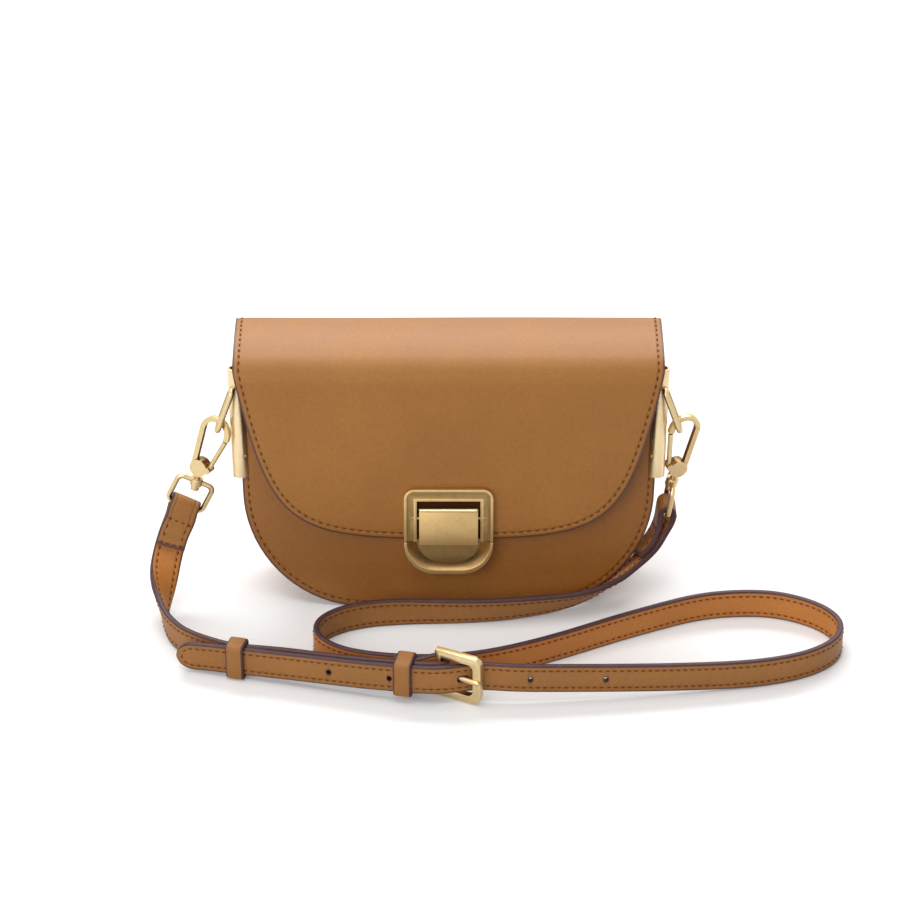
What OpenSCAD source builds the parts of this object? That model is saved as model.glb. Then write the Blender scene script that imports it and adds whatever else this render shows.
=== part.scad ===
// Small saddle handbag with a press clasp and a clip-on buckled shoulder strap.
// Origin: on the floor, under the middle of the closed bag. X to the right, -Y to the front, Z up.

/* [Bag body] */
// Half width of the bag panels at the side seams
body_half_w = 102; // [85:1:120]
// Extra half width gained by the panels towards the top
body_flare = 1.6; // [0:0.1:4]
// Horizontal half axis of the round bottom corners
corner_w = 58; // [40:1:70]
// Vertical half axis of the round bottom corners
corner_h = 61; // [45:1:75]
// Depth of the bag at its base, front face to back face
body_depth = 54.5; // [46:0.5:64]
// Lean of the front face, in degrees
front_lean = 8.5; // [6:0.5:11]
// How far the front panel's side edges curve back from its middle
front_bow = 6.5; // [4:0.5:9]
// Height of the front panel, along its face
panel_h = 116; // [106:1:118]
// Thickness of the front and back leather panels
panel_t = 2; // [1.4:0.1:2.6]
// Thickness of the gusset leather
gusset_t = 1.6; // [1:0.1:2.2]
// Seam allowance between a panel's edge and the gusset wall
seam_w = 4; // [3:0.5:6]
// Thickness of the lining cloth
lining_t = 0.8; // [0.5:0.1:1.2]
// Thickness of the base board
board_t = 1.4; // [1:0.1:2]

/* [Flap] */
// Half width of the flap across the top
flap_half_w = 105.2; // [96:0.2:112]
// Half width of the flap where its face starts
flap_face_half_w = 103.8; // [94:0.2:110]
// Height of the flap's hem above the base, along the face
hem_h = 39.3; // [34:0.1:46]
// Length of the flap's straight face
face_len = 80.7; // [72:0.1:86]
// Leather thickness of the flap
flap_t = 1.3; // [1:0.1:1.8]
// Lining thickness of the flap
flap_lining_t = 0.9; // [0.6:0.1:1.2]
// Gap between the flap and the front panel
flap_gap = 1.3; // [1.1:0.1:2.5]
// Radius of the tight front bend of the flap
bend_r = 14.3; // [10:0.1:18]
// Radius of the slow bend over the top of the flap
top_r = 99; // [80:1:130]

/* [Clasp] */
// Width of the clasp frame
clasp_w = 44; // [38:0.5:50]
// Height of the upper clasp frame above the flap's hem
clasp_h = 27.9; // [25:0.1:32]
// Thickness of the clasp frame
clasp_t = 3.4; // [3:0.1:4]
// Depth of the catch plate below the hem
catch_h = 17.4; // [16:0.1:22]
// Width of the clasp's window
window_w = 31.4; // [28:0.1:34]
// Width of the lever in the window
lever_w = 29; // [25:0.1:30]
// Sheet thickness of the lever
lever_t = 1.4; // [1:0.1:1.8]
// Radius of the lever's hinge pin
lever_pin_r = 0.8; // [0.6:0.05:1]

/* [Side clips and rings] */
// Outer radius of the brass clip along each side edge
clip_r = 4.25; // [3.8:0.05:4.6]
// Wall of the brass clip
clip_wall = 1.1; // [0.8:0.1:1.4]
// Height of the lower end of the clip, along the face
clip_low = 69; // [64:1:76]
// Length of the clip
clip_len = 56.5; // [50:0.5:60]
// Height of the ring's pivot in the clip, along the face
ring_pivot_h = 115.5; // [108:0.5:118]
// Length of the ring, pivot to bottom bar
ring_len = 22.3; // [20:0.1:26]
// Radius of the ring's wire
ring_wire_r = 1.5; // [1.2:0.05:1.8]
// Angle at which the ring stands out, in degrees
ring_tilt = 20.5; // [16:0.5:24]

/* [Strap hardware] */
// Radius of the snap hook's loop, to the middle of its wire
hook_r = 6.8; // [6:0.1:8]
// Length from the hook's disc to the middle of its round end
hook_len = 22.3; // [20:0.1:26]
// Thickness of the hook's wire
hook_wire = 2.6; // [2.2:0.1:3.2]
// Radius of the round disc at the hook's foot
disc_r = 4.6; // [4:0.1:5.2]
// Thickness of the disc
disc_t = 5.6; // [5:0.1:6.5]
// Distance from the disc to the eye's top bar
post_len = 8.6; // [8:0.1:10]
// Radius of the swivel post
post_r = 1.4; // [1.1:0.05:1.7]
// Radius of the eye's wire
eye_wire_r = 1.35; // [1.1:0.05:1.6]
// Distance between the eye's two bars
eye_len = 15.6; // [14:0.1:18]
// Gap across the eye, which the strap passes
eye_gap = 15.8; // [15.4:0.1:17]
// Height of the buckle frame
buckle_h = 25.6; // [24:0.1:26]
// Length of the buckle frame
buckle_len = 24; // [22:0.1:26]
// Width of the buckle frame's bars
buckle_bar = 4; // [3:0.1:4.6]
// Thickness of the buckle frame
buckle_t = 3.4; // [2.8:0.1:3.8]
// Radius of the buckle's back bar
back_bar_r = 2; // [1.6:0.05:2.1]
// Radius of the prong
prong_r = 1.1; // [0.8:0.05:1.2]

/* [Strap] */
// Width of the strap
strap_w = 15; // [13:0.5:15]
// Thickness of the strap
strap_t = 2.8; // [2:0.1:2.9]
// Width of the strap keepers
keeper_w = 9; // [7:0.5:12]
// Leather thickness of the strap keepers
keeper_t = 1.6; // [1.2:0.1:2]

/* [Hidden] */
$fn = 48;
leather = "peru";
edge_leather = "sienna";
cloth = "tan";
brass = "khaki";
steel = "silver";

// Clearances and cuts
over = 1;
turn_gap = 0.05;
loose_gap = 0.3;
far = body_half_w + flap_half_w;

// Places worked out from the body: the clasp's lever and the back panel lie equally far from Y = 0
flap_all_t = flap_t + flap_lining_t;
flap_out = flap_gap + flap_all_t;
lever_out = 7;
front_y = ((flap_out + lever_out) * cos(front_lean) - hem_h * sin(front_lean) - body_depth) / 2;
back_y = front_y + body_depth;
bend_h = hem_h + face_len;
bow_r = (body_half_w * body_half_w + front_bow * front_bow) / (2 * front_bow);
wall_in = seam_w + gusset_t;
lining_in = wall_in + lining_t;
facing_t = 1;
lining_back = panel_t + facing_t;
tilt_end = 72;
tilt_ridge = 88;
arc_steps = 12;
bow_steps = 24;

// A point's place in the Y and Z of the leaning face, from its height and its distance outwards
function face_y(s, n) = front_y + s * sin(front_lean) - n * cos(front_lean);
function face_z(s, n) = s * cos(front_lean) + n * sin(front_lean);
// How far the bowed face lies behind its middle at x
function sag(x) = bow_r - sqrt(bow_r * bow_r - x * x);
function bez(a, b, c, d, t) = pow(1 - t, 3) * a + 3 * pow(1 - t, 2) * t * b
    + 3 * (1 - t) * pow(t, 2) * c + pow(t, 3) * d;
function side_x(s) = body_half_w + body_flare * max(0, s - corner_h) / (panel_h - corner_h);

// Half of the bag's outline, bottom middle to top edge, drawn in by two insets
function half_outline(top, in_side, in_base) = concat(
    [for (i = [0 : arc_steps]) let (a = 90 * i / arc_steps)
        [body_half_w - corner_w + (corner_w - in_side) * sin(a),
         corner_h - (corner_h - in_base) * cos(a)]],
    [[side_x(top) - in_side, top]]);
function mirrored(pts) = concat(pts, [for (i = [len(pts) - 1 : -1 : 0]) [-pts[i][0], pts[i][1]]]);

module outline(top, in_side, in_base) {
    polygon(mirrored(half_outline(top, in_side, in_base)));
}
// Stands children on the leaning front face, their +Z outwards
module on_face() {
    translate([0, front_y, 0])
        rotate([90 - front_lean, 0, 0])
            children();
}
// Stands a flat outline upright, from depth y0 towards the back
module upright(y0, t) {
    translate([0, y0 + t, 0])
        rotate([90, 0, 0])
            linear_extrude(t) children();
}
// A sheet that bows like the front panel, from distance n1 to n0 outwards
module bowed(n0, n1, h) {
    xs = [for (i = [0 : bow_steps]) flap_half_w * (2 * i / bow_steps - 1)];
    translate([0, h, 0])
        rotate([90, 0, 0])
            linear_extrude(h + over)
                polygon(concat([for (x = xs) [x, n0 - sag(x)]],
                    [for (i = [bow_steps : -1 : 0]) [xs[i], n1 - sag(xs[i])]]));
}
// A bowed sheet cut to the bag's outline
module bowed_outline(n0, n1, top, in_side, in_base) {
    intersection() {
        bowed(n0, n1, top + over);
        translate([0, 0, n1 - 2 * front_bow])
            linear_extrude(n0 - n1 + 3 * front_bow)
                outline(top, in_side, in_base);
    }
}

// The flap's section over the ridge
ridge_c1 = [face_y(bend_h, flap_out) + bend_r * cos(front_lean),
    face_z(bend_h, flap_out) - bend_r * sin(front_lean)];
ridge_p2 = ridge_c1 + bend_r * [-cos(tilt_end), sin(tilt_end)];
ridge_c2 = ridge_p2 + top_r * [cos(tilt_end), -sin(tilt_end)];
// A point of the flap's section: tilt in degrees, depth below the outer face
function bend_at(a, d) = a <= tilt_end
    ? ridge_c1 + (bend_r - d) * [-cos(a), sin(a)]
    : ridge_c2 + (top_r - d) * [-cos(a), sin(a)];
function ridge_at(d) = let (p = bend_at(tilt_ridge, d))
    [back_y, p[1] + (back_y - p[0]) / tan(tilt_ridge)];
function flap_line(d) = concat(
    [[face_y(hem_h, flap_out - d), face_z(hem_h, flap_out - d)]],
    [for (i = [0 : arc_steps]) bend_at(front_lean + (tilt_end - front_lean) * i / arc_steps, d)],
    [for (i = [1 : arc_steps]) bend_at(tilt_end + 0.01 + (tilt_ridge - tilt_end - 0.01) * i / arc_steps, d)],
    [ridge_at(d)]);
ridge_z = ridge_at(flap_all_t)[1];
back_top = ridge_z - loose_gap;

module back_outline(top, in_side, in_base) {
    half = half_outline(panel_h, in_side, in_base);
    polygon(mirrored(concat(half, [[flap_half_w - in_side, top]])));
}
module back_panel() {
    color(leather)
        upright(back_y - panel_t, panel_t) back_outline(back_top, 0, 0);
}

catch_hole_x = 13;
catch_screw_r = 1;
catch_screw_h = hem_h - catch_h / 2;
catch_places = [for (x = [-catch_hole_x, catch_hole_x]) [x, catch_screw_h]];
module catch_holes(r, n0, n1) {
    for (p = catch_places)
        translate([p[0], p[1], n1])
            cylinder(r = r, h = n0 - n1);
}
// Lifts the leaning panel's hem so that none of it reaches below the floor
front_rise = (panel_t + gusset_t + sag(body_half_w - corner_w)) * tan(front_lean);
module front_panel() {
    color(leather)
        difference() {
            on_face()
                difference() {
                    bowed_outline(0, -panel_t, panel_h, 0, front_rise);
                    catch_holes(catch_screw_r, over, -panel_t - over);
                }
            rivet_bores();
        }
}

gusset_top = panel_h * cos(front_lean);
module wall_ring(in0, in1, base0, base1, y0) {
    difference() {
        upright(y0, back_y - panel_t - y0) outline(gusset_top, in0, base0);
        upright(y0 - over, body_depth + 2 * over)
            outline(gusset_top + over, in1, base1);
    }
}
module before_face(n) {
    on_face() bowed(n + body_depth, n, panel_h + body_depth);
}
module flange_front() {
    on_face()
        difference() {
            bowed_outline(-panel_t, -panel_t - gusset_t, panel_h, 0, front_rise);
            translate([0, 0, -3 * front_bow])
                linear_extrude(4 * front_bow)
                    outline(panel_h + over, wall_in, wall_in);
        }
}
module flange_back() {
    upright(back_y - panel_t - gusset_t, gusset_t)
        difference() {
            outline(gusset_top, 0, 0);
            outline(gusset_top + over, wall_in, wall_in);
        }
}
module gusset() {
    color(leather) {
        difference() {
            wall_ring(seam_w, wall_in, seam_w, wall_in, front_y);
            before_face(-panel_t);
        }
        difference() {
            flange_front();
            rivet_bores();
        }
        flange_back();
    }
}
board_in = wall_in + board_t;
module gusset_lining() {
    color(cloth)
        difference() {
            upright(front_y, body_depth - panel_t - lining_t)
                outline(gusset_top, wall_in, board_in);
            upright(front_y - over, body_depth + 2 * over)
                outline(gusset_top + over, lining_in, board_in + lining_t);
            before_face(-lining_back - lining_t);
        }
}
module front_lining() {
    color(cloth)
        on_face()
            bowed_outline(-lining_back, -lining_back - lining_t, panel_h - over, lining_in, board_in + 2 * facing_t);
}
module back_lining() {
    color(cloth)
        upright(back_y - panel_t - lining_t, lining_t) outline(gusset_top, wall_in, board_in);
}
facing_h = 14;
module top_facing() {
    color(leather)
        on_face()
            intersection() {
                bowed_outline(-panel_t, -lining_back, panel_h - over, lining_in, wall_in);
                translate([-far, panel_h - facing_h, -far])
                    cube([2 * far, facing_h, 2 * far]);
            }
}
pocket_w = 120;
pocket_h = 72;
pocket_low = 30;
pocket_gap = 1;
pocket_seam = 4;
pocket_y = back_y - panel_t - lining_t;
module slip_pocket() {
    color(cloth)
        translate([-pocket_w / 2, pocket_y - pocket_gap - lining_t, pocket_low])
            difference() {
                cube([pocket_w, pocket_gap + lining_t, pocket_h]);
                translate([pocket_seam, lining_t, pocket_seam])
                    cube([pocket_w - 2 * pocket_seam, pocket_gap + over, pocket_h]);
            }
}
board_half = body_half_w - corner_w;
module base_board() {
    color("dimgray")
        translate([-board_half, face_y(board_in, -lining_back - lining_t), wall_in])
            cube([2 * board_half, pocket_y - face_y(board_in, -lining_back - lining_t), board_t]);
}

// Clasp
frame_corner = 5;
catch_corner = 15.5;
rim_w = 1.3;
rim_low = 1.1;
lip_w = 1.5;
lip_low = 0.5;
window_top = clasp_h - 6.4;
screw_r = 1;
clasp_screw_x = clasp_w / 2 - (clasp_w - window_w) / 4;
clasp_places = [for (x = [-1, 1], s = [clasp_h / 5, clasp_h * 4 / 5]) [x * clasp_screw_x, s]];
backing_t = 0.5;
screw_head_t = 0.35;
screw_head_r = 1.8;

// Stands children on the flap's outer face at the middle of its hem
module on_flap() {
    on_face() translate([0, hem_h, flap_out]) children();
}
// The upper frame's outline, drawn in by d, from height low up
module frame_plan(d, low) {
    half = clasp_w / 2 - d;
    r = frame_corner - d;
    polygon(concat([[-half, low], [half, low]],
        [for (i = [0 : 6]) let (a = 15 * i)
            [half - r + r * cos(a), clasp_h - frame_corner + r * sin(a)]],
        [for (i = [0 : 6]) let (a = 90 + 15 * i)
            [-half + r + r * cos(a), clasp_h - frame_corner + r * sin(a)]]));
}
module window_plan(d, low) {
    translate([-window_w / 2 - d, low])
        square([window_w + 2 * d, window_top + d - low]);
}
lever_pin_h = 12.1;
lever_pin_n = 1.9;
module clasp_frame() {
    color(brass)
        on_flap()
            difference() {
                union() {
                    linear_extrude(clasp_t - rim_low) frame_plan(0, 0);
                    linear_extrude(clasp_t)
                        difference() {
                            frame_plan(0, 0);
                            frame_plan(rim_w, -over);
                        }
                    linear_extrude(clasp_t - lip_low)
                        window_plan(lip_w, 0);
                }
                translate([0, 0, -over])
                    linear_extrude(clasp_t + 2 * over) window_plan(0, -over);
                for (p = clasp_places)
                    translate([p[0], p[1], -over])
                        cylinder(r = screw_r, h = over + clasp_t / 2);
                translate([-window_w / 2 - pin_seat, lever_pin_h, lever_pin_n])
                    rotate([0, 90, 0])
                        cylinder(r = lever_pin_r, h = window_w + 2 * pin_seat);
            }
}
pin_seat = 2.5;
module lever_pin() {
    color(steel)
        on_flap()
            translate([-window_w / 2 - pin_seat, lever_pin_h, lever_pin_n])
                rotate([0, 90, 0])
                    cylinder(r = lever_pin_r, h = window_w + 2 * pin_seat);
}
spring_r = 1.3;
spring_len = 8;
module lever_spring() {
    color(steel)
        on_flap()
            translate([-spring_len / 2, lever_pin_h, lever_pin_n])
                rotate([0, 90, 0])
                    difference() {
                        cylinder(r = spring_r, h = spring_len);
                        translate([0, 0, -over])
                            cylinder(r = lever_pin_r, h = spring_len + 2 * over);
                    }
}
lever_top = 18.3;
lever_end = -11.4;
top_out = 4.9;
end_out = 3.6;
knuckle_r = 1.75;
knuckle_w = 2.4;
knuckle_x = lever_w / 2 - knuckle_w;
function lever_line(d) = [[lever_top, top_out - d], [0, lever_out - d], [lever_end, end_out - d]];
module lever_sheet() {
    translate([-lever_w / 2, 0, 0])
        rotate([90, 0, 90])
            linear_extrude(lever_w)
                polygon(concat(lever_line(0), [lever_line(lever_t)[2], lever_line(lever_t)[1],
                    lever_line(lever_t)[0]]));
}
module lever_plan() {
    half = lever_w / 2;
    drop = -lever_end - 1;
    polygon(concat([[half, lever_top], [-half, lever_top]],
        [for (i = [0 : 16]) let (a = 180 + 180 * i / 16)
            [half * cos(a), drop * sin(a) - 1]]));
}
module clasp_lever() {
    color(brass)
        on_flap() {
            intersection() {
                lever_sheet();
                linear_extrude(2 * lever_out) lever_plan();
            }
            for (x = [-lever_w / 2, knuckle_x])
                translate([x, lever_pin_h, lever_pin_n])
                    rotate([0, 90, 0])
                        difference() {
                            union() {
                                cylinder(r = knuckle_r, h = knuckle_w);
                                translate([-lever_out / 2 - lever_t / 2, -knuckle_r, 0])
                                    cube([lever_out / 2 + lever_t / 2, 2 * knuckle_r, knuckle_w]);
                            }
                            translate([0, 0, -over])
                                cylinder(r = lever_pin_r + turn_gap, h = knuckle_w + 2 * over);
                            translate([-far / 2 - lever_seat, -far / 2, -over])
                                cube([far / 2, far, knuckle_w + 2 * over]);
                        }
        }
}
lever_seat = 2.4;
module clasp_backing() {
    color(steel)
        on_flap()
            translate([0, 0, -flap_all_t - backing_t])
                difference() {
                    linear_extrude(backing_t)
                        difference() {
                            frame_plan(rim_w, rim_w);
                            window_plan(0, -over);
                        }
                    for (p = clasp_places)
                        translate([p[0], p[1], -over])
                            cylinder(r = screw_r, h = backing_t + 2 * over);
                }
}
module clasp_screws() {
    color(steel)
        on_flap()
            for (p = clasp_places)
                translate([p[0], p[1], -flap_all_t - backing_t]) {
                    cylinder(r = screw_r, h = flap_all_t + backing_t + clasp_t / 2);
                    translate([0, 0, -screw_head_t])
                        cylinder(r = screw_head_r, h = screw_head_t);
                }
}
catch_t = flap_out + clasp_t;
catch_floor = 1.6;
catch_dish = 6;
catch_gap = 0.4;
module catch_plan(d) {
    half = clasp_w / 2 - d;
    r = catch_corner - d;
    top = -catch_gap;
    polygon(concat([[half, top], [-half, top]],
        [for (i = [0 : 8]) let (a = 180 + 90 * i / 8)
            [-half + r + r * cos(a), -catch_h + catch_corner + r * sin(a)]],
        [for (i = [0 : 8]) let (a = 270 + 90 * i / 8)
            [half - r + r * cos(a), -catch_h + catch_corner + r * sin(a)]]));
}
module on_catch() {
    on_face() translate([0, hem_h, 0]) children();
}
magnet_r = 4;
magnet_t = 1.2;
magnet_h = -5.5;
module catch_plate() {
    color(brass)
        on_catch()
            difference() {
                linear_extrude(catch_t) catch_plan(0);
                hull() {
                    translate([0, over, catch_t])
                        linear_extrude(over) catch_plan(rim_w);
                    translate([0, over, catch_floor])
                        linear_extrude(over) catch_plan(catch_dish);
                }
                translate([0, magnet_h, catch_floor - magnet_t / 2])
                    cylinder(r = magnet_r, h = magnet_t);
                for (x = [-catch_hole_x, catch_hole_x])
                    translate([x, -catch_h / 2, -over])
                        cylinder(r = catch_screw_r, h = over + catch_floor - loose_gap);
            }
}
module catch_magnet() {
    color(steel)
        on_catch()
            translate([0, magnet_h, catch_floor - magnet_t / 2])
                cylinder(r = magnet_r, h = magnet_t);
}
backing_w = 34;
backing_h = 8;
module catch_backing() {
    color(steel)
        on_face()
            difference() {
                translate([-backing_w / 2, catch_screw_h - backing_h / 2,
                        -panel_t - sag(backing_w / 2) - backing_t])
                    cube([backing_w, backing_h, backing_t]);
                catch_holes(catch_screw_r, -panel_t + over, -panel_t - 2 * over);
            }
}
module catch_screws() {
    color(steel)
        on_face()
            catch_holes(catch_screw_r, catch_floor - loose_gap,
                -panel_t - sag(backing_w / 2) - backing_t);
}

// Side clips: slotted brass tubes along the side edges of the front panel
clip_x = side_x(clip_low) + 0.4;
clip_lean = 1.4;
clip_n = -sag(body_half_w) - (panel_t + gusset_t) / 2;
slot_half = (panel_t + gusset_t) / 2 + 2 * loose_gap;
rivet_r = 0.8;
rivet_places = [clip_len * 0.2, clip_len * 0.62];
rivet_in = 2.6;
ring_in_clip = 1.9;
// Stands children at the foot of the right clip, their +Z up along the edge
module on_clip() {
    on_face()
        translate([clip_x, clip_low, clip_n])
            rotate([-90, 0, 0])
                rotate([0, clip_lean, 0])
                    children();
}
module rivet_bores() {
    for (m = [0, 1])
        mirror([m, 0, 0])
            on_clip()
                for (z = rivet_places)
                    translate([-rivet_in, 2 * clip_r, z])
                        rotate([90, 0, 0])
                            cylinder(r = rivet_r, h = 4 * clip_r);
}
module clip() {
    difference() {
        cylinder(r = clip_r, h = clip_len);
        translate([0, 0, -over])
            cylinder(r = clip_r - clip_wall, h = clip_len + 2 * over);
        translate([-2 * clip_r, -slot_half, -over])
            cube([2 * clip_r, 2 * slot_half, clip_len + 2 * over]);
        for (z = rivet_places)
            translate([-rivet_in, 2 * clip_r, z])
                rotate([90, 0, 0])
                    cylinder(r = rivet_r, h = 4 * clip_r);
        translate([ring_in_clip, 2 * clip_r, ring_pivot_h - clip_low])
            rotate([90, 0, 0])
                cylinder(r = ring_wire_r + turn_gap, h = 4 * clip_r);
    }
}
module rivets() {
    for (z = rivet_places)
        translate([-rivet_in, rivet_half, z])
            rotate([90, 0, 0])
                cylinder(r = rivet_r, h = 2 * rivet_half);
}
rivet_half = sqrt(clip_r * clip_r - rivet_in * rivet_in) + loose_gap / 3;
module clip_right() {
    color(brass) on_clip() clip();
}
module clip_left() {
    mirror([1, 0, 0]) clip_right();
}
module clip_rivets() {
    color(brass)
        for (m = [0, 1])
            mirror([m, 0, 0])
                on_clip() rivets();
}

// Rings: wire rectangles that turn in the clips
ring_half = clip_r + ring_wire_r + 1;
ring_bend = 2.2;
module bar(a, b, r) {
    d = b - a;
    translate(a)
        rotate([0, acos(d[2] / norm(d)), atan2(d[1], d[0])])
            cylinder(r = r, h = norm(d));
}
// A wire rectangle in the XZ plane: two bars along X at z = 0 and z = -len, round corners
module wire_frame(half, len, r, bend) {
    for (x = [-1, 1]) {
        bar([x * half, 0, -bend], [x * half, 0, bend - len], r);
        translate([x * (half - bend), 0, -bend])
            mirror([x < 0 ? 1 : 0, 0, 0])
                rotate([90, 0, 0])
                    rotate_extrude(angle = 90)
                        translate([bend, 0]) circle(r = r);
        translate([x * (half - bend), 0, bend - len])
            mirror([x < 0 ? 1 : 0, 0, 0])
                rotate([90, 90, 0])
                    rotate_extrude(angle = 90)
                        translate([bend, 0]) circle(r = r);
    }
    bar([bend - half, 0, 0], [half - bend, 0, 0], r);
    bar([bend - half, 0, -len], [half - bend, 0, -len], r);
}
module ring_right() {
    color(brass)
        on_clip()
            translate([ring_in_clip, 0, ring_pivot_h - clip_low])
                rotate([0, -ring_tilt - clip_lean, 0])
                    rotate([0, 0, 90])
                        wire_frame(ring_half, ring_len, ring_wire_r, ring_bend);
}
module ring_left() {
    mirror([1, 0, 0]) ring_right();
}

// Flap: one bent sheet of leather with its lining, cut to the saddle outline
flap_corner = 2.5;
flap_curve_shares = [0.842, 0.063, 0.753];
function flap_edge() = let (
    a = [flap_face_half_w, bend_h],
    b = [flap_curve_shares[0] * flap_face_half_w, hem_h + flap_curve_shares[1] * face_len],
    c = [flap_curve_shares[2] * flap_face_half_w, hem_h],
    d = [0, hem_h])
    [for (i = [2 * arc_steps : -1 : 0]) bez(a, b, c, d, i / (2 * arc_steps))];
module flap_plan() {
    polygon(mirrored(concat(flap_edge(),
        [[flap_half_w, bend_h + bend_r / 2], [flap_half_w, bend_h + body_depth]])));
}
module top_plan() {
    w = flap_half_w;
    c = flap_corner;
    polygon([[-w, 2 * front_y], [w, 2 * front_y], [w, back_y - c], [w - c / 3, back_y - c / 3],
        [w - c, back_y], [c - w, back_y], [c / 3 - w, back_y - c / 3], [-w, back_y - c]]);
}
module flap_sheet(d0, d1) {
    line0 = flap_line(d0);
    line1 = flap_line(d1);
    intersection() {
        translate([-far / 2, 0, 0])
            rotate([90, 0, 90])
                linear_extrude(far)
                    polygon(concat(line0, [for (i = [len(line1) - 1 : -1 : 0]) line1[i]]));
        on_face()
            translate([0, 0, -body_depth])
                linear_extrude(2 * body_depth) flap_plan();
        linear_extrude(2 * panel_h) top_plan();
    }
}
module flap_holes() {
    on_flap()
        for (p = clasp_places)
            translate([p[0], p[1], -flap_all_t - over])
                cylinder(r = screw_r, h = flap_all_t + 2 * over);
}
module flap_leather() {
    color(leather)
        difference() {
            flap_sheet(0, flap_t);
            flap_holes();
        }
}
module flap_lining() {
    color(edge_leather)
        difference() {
            flap_sheet(flap_t, flap_all_t);
            flap_holes();
        }
}

// Moves the strap and its hooks along with the bag
module laid() {
    translate([0, front_y + body_depth / 2, 0]) children();
}

// Snap hooks: places of the two discs and how far their shanks lean, in degrees
hook_left_at = [-123.2, -5, 69.6];
hook_right_at = [113.34, -4.2, 69];
hook_left_lean = 14.5;
hook_right_lean = 15;
hook_left_turn = 26;
hook_right_turn = 20;
eye_left_lean = 26;
eye_right_lean = 7.6;
arm_x = -3.5;
gate_x = arm_x + 2 * hook_r;
gate_top = hook_len - 2.6;
gate_foot = [4.8, 0.6];
gate_r = 1.25;
gate_barrel_r = 1.7;
gate_barrel_w = 2.6;
gate_pin_r = 0.6;
gate_gap = 0.25;
knob_r = 2.2;
knob_t = 2.6;
boss_r = 3.1;
boss_len = 4;

// Stands children in a hook's frame: +Z up its shank, +X towards the bag and a little forwards
module on_hook_left() {
    translate(hook_left_at) rotate([0, hook_left_lean, 0]) rotate([0, 0, -hook_left_turn]) children();
}
module on_hook_right() {
    translate(hook_right_at)
        mirror([1, 0, 0])
            rotate([0, -hook_right_lean, 0])
                rotate([0, 0, -hook_right_turn]) children();
}
module hook_loop_plan() {
    half = hook_wire / 2;
    c = [arm_x + hook_r, hook_len];
    polygon(concat(
        [[arm_x - half, 0], [arm_x + half, 0]],
        [for (i = [0 : 2 * arc_steps]) let (a = 180 - 180 * i / (2 * arc_steps))
            c + (hook_r - half) * [cos(a), sin(a)]],
        [[gate_x - half, gate_top], [gate_x + half, gate_top]],
        [for (i = [0 : 2 * arc_steps]) let (a = 180 * i / (2 * arc_steps))
            c + (hook_r + half) * [cos(a), sin(a)]]));
}
module flat(t) {
    translate([0, t / 2, 0])
        rotate([90, 0, 0])
            linear_extrude(t) children();
}
module hook() {
    difference() {
        union() {
            flat(hook_wire) hook_loop_plan();
            flat(disc_t) circle(r = disc_r);
            flat(disc_t) translate(gate_foot) circle(r = gate_barrel_r);
            translate([0, 0, -post_len - boss_len / 2 - knob_t])
                cylinder(r = post_r, h = post_len + boss_len / 2 + knob_t);
            translate([0, 0, -post_len - boss_len / 2 - turn_gap - knob_t])
                cylinder(r = knob_r, h = knob_t);
        }
        flat(gate_barrel_w + 2 * gate_gap)
            translate(gate_foot) circle(r = gate_barrel_r + gate_gap);
        for (turn = [0, gate_swing])
            flat(gate_barrel_w + 2 * gate_gap)
                translate(gate_foot)
                    rotate(gate_rest + turn)
                        translate([0, -gate_r - gate_gap])
                            square([2 * disc_r, 2 * (gate_r + gate_gap)]);
        flat(2 * disc_t) translate(gate_foot) circle(r = gate_pin_r);
    }
}
// The gate's bar, from its barrel up to the mouth of the loop
gate_run = [gate_x - gate_gap, gate_top - 2.4 * gate_gap] - gate_foot;
gate_rest = atan2(gate_run[1], gate_run[0]);
gate_swing = 24;
module gate() {
    difference() {
        union() {
            flat(gate_barrel_w) translate(gate_foot) circle(r = gate_barrel_r);
            translate([gate_foot[0], 0, gate_foot[1]])
                rotate([0, 90 - gate_rest, 0])
                    cylinder(r = gate_r, h = norm(gate_run));
        }
        flat(2 * disc_t) translate(gate_foot) circle(r = gate_pin_r + turn_gap);
    }
}
module gate_pin() {
    flat(disc_t) translate(gate_foot) circle(r = gate_pin_r);
}
module hook_left() {
    color(brass) laid() on_hook_left() hook();
}
module hook_right() {
    color(brass) laid() on_hook_right() hook();
}
module gate_left() {
    color(brass) laid() on_hook_left() gate();
}
module gate_right() {
    color(brass) laid() on_hook_right() gate();
}
module gate_pin_left() {
    color(steel) laid() on_hook_left() gate_pin();
}
module gate_pin_right() {
    color(steel) laid() on_hook_right() gate_pin();
}

// Eyes: wire rectangles, the strap on one bar and the hook's post through the other
eye_half = eye_gap / 2 + eye_wire_r;
eye_bend = 3;
eye_left_at = hook_left_at - post_len * [sin(hook_left_lean), 0, cos(hook_left_lean)];
eye_right_at = hook_right_at - post_len * [sin(hook_right_lean), 0, cos(hook_right_lean)];
module eye(frame_lean, post_lean, turn) {
    difference() {
        union() {
            rotate([0, frame_lean, 0])
                rotate([0, 0, turn])
                    wire_frame(eye_half, eye_len, eye_wire_r, eye_bend);
            rotate([0, post_lean, 0])
                translate([0, 0, -boss_len / 2])
                    cylinder(r = boss_r, h = boss_len);
        }
        rotate([0, post_lean, 0])
            translate([0, 0, -boss_len])
                cylinder(r = post_r + turn_gap, h = 2 * boss_len);
    }
}
module eye_left() {
    color(brass) laid() translate(eye_left_at) eye(eye_left_lean, hook_left_lean, 0);
}
module eye_right() {
    color(brass) laid() translate(eye_right_at) eye(eye_right_lean, hook_right_lean, 90);
}
bar_left_at = eye_left_at - eye_len * [sin(eye_left_lean), 0, cos(eye_left_lean)];
bar_right_at = eye_right_at - eye_len * [sin(eye_right_lean), 0, cos(eye_right_lean)];

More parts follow.
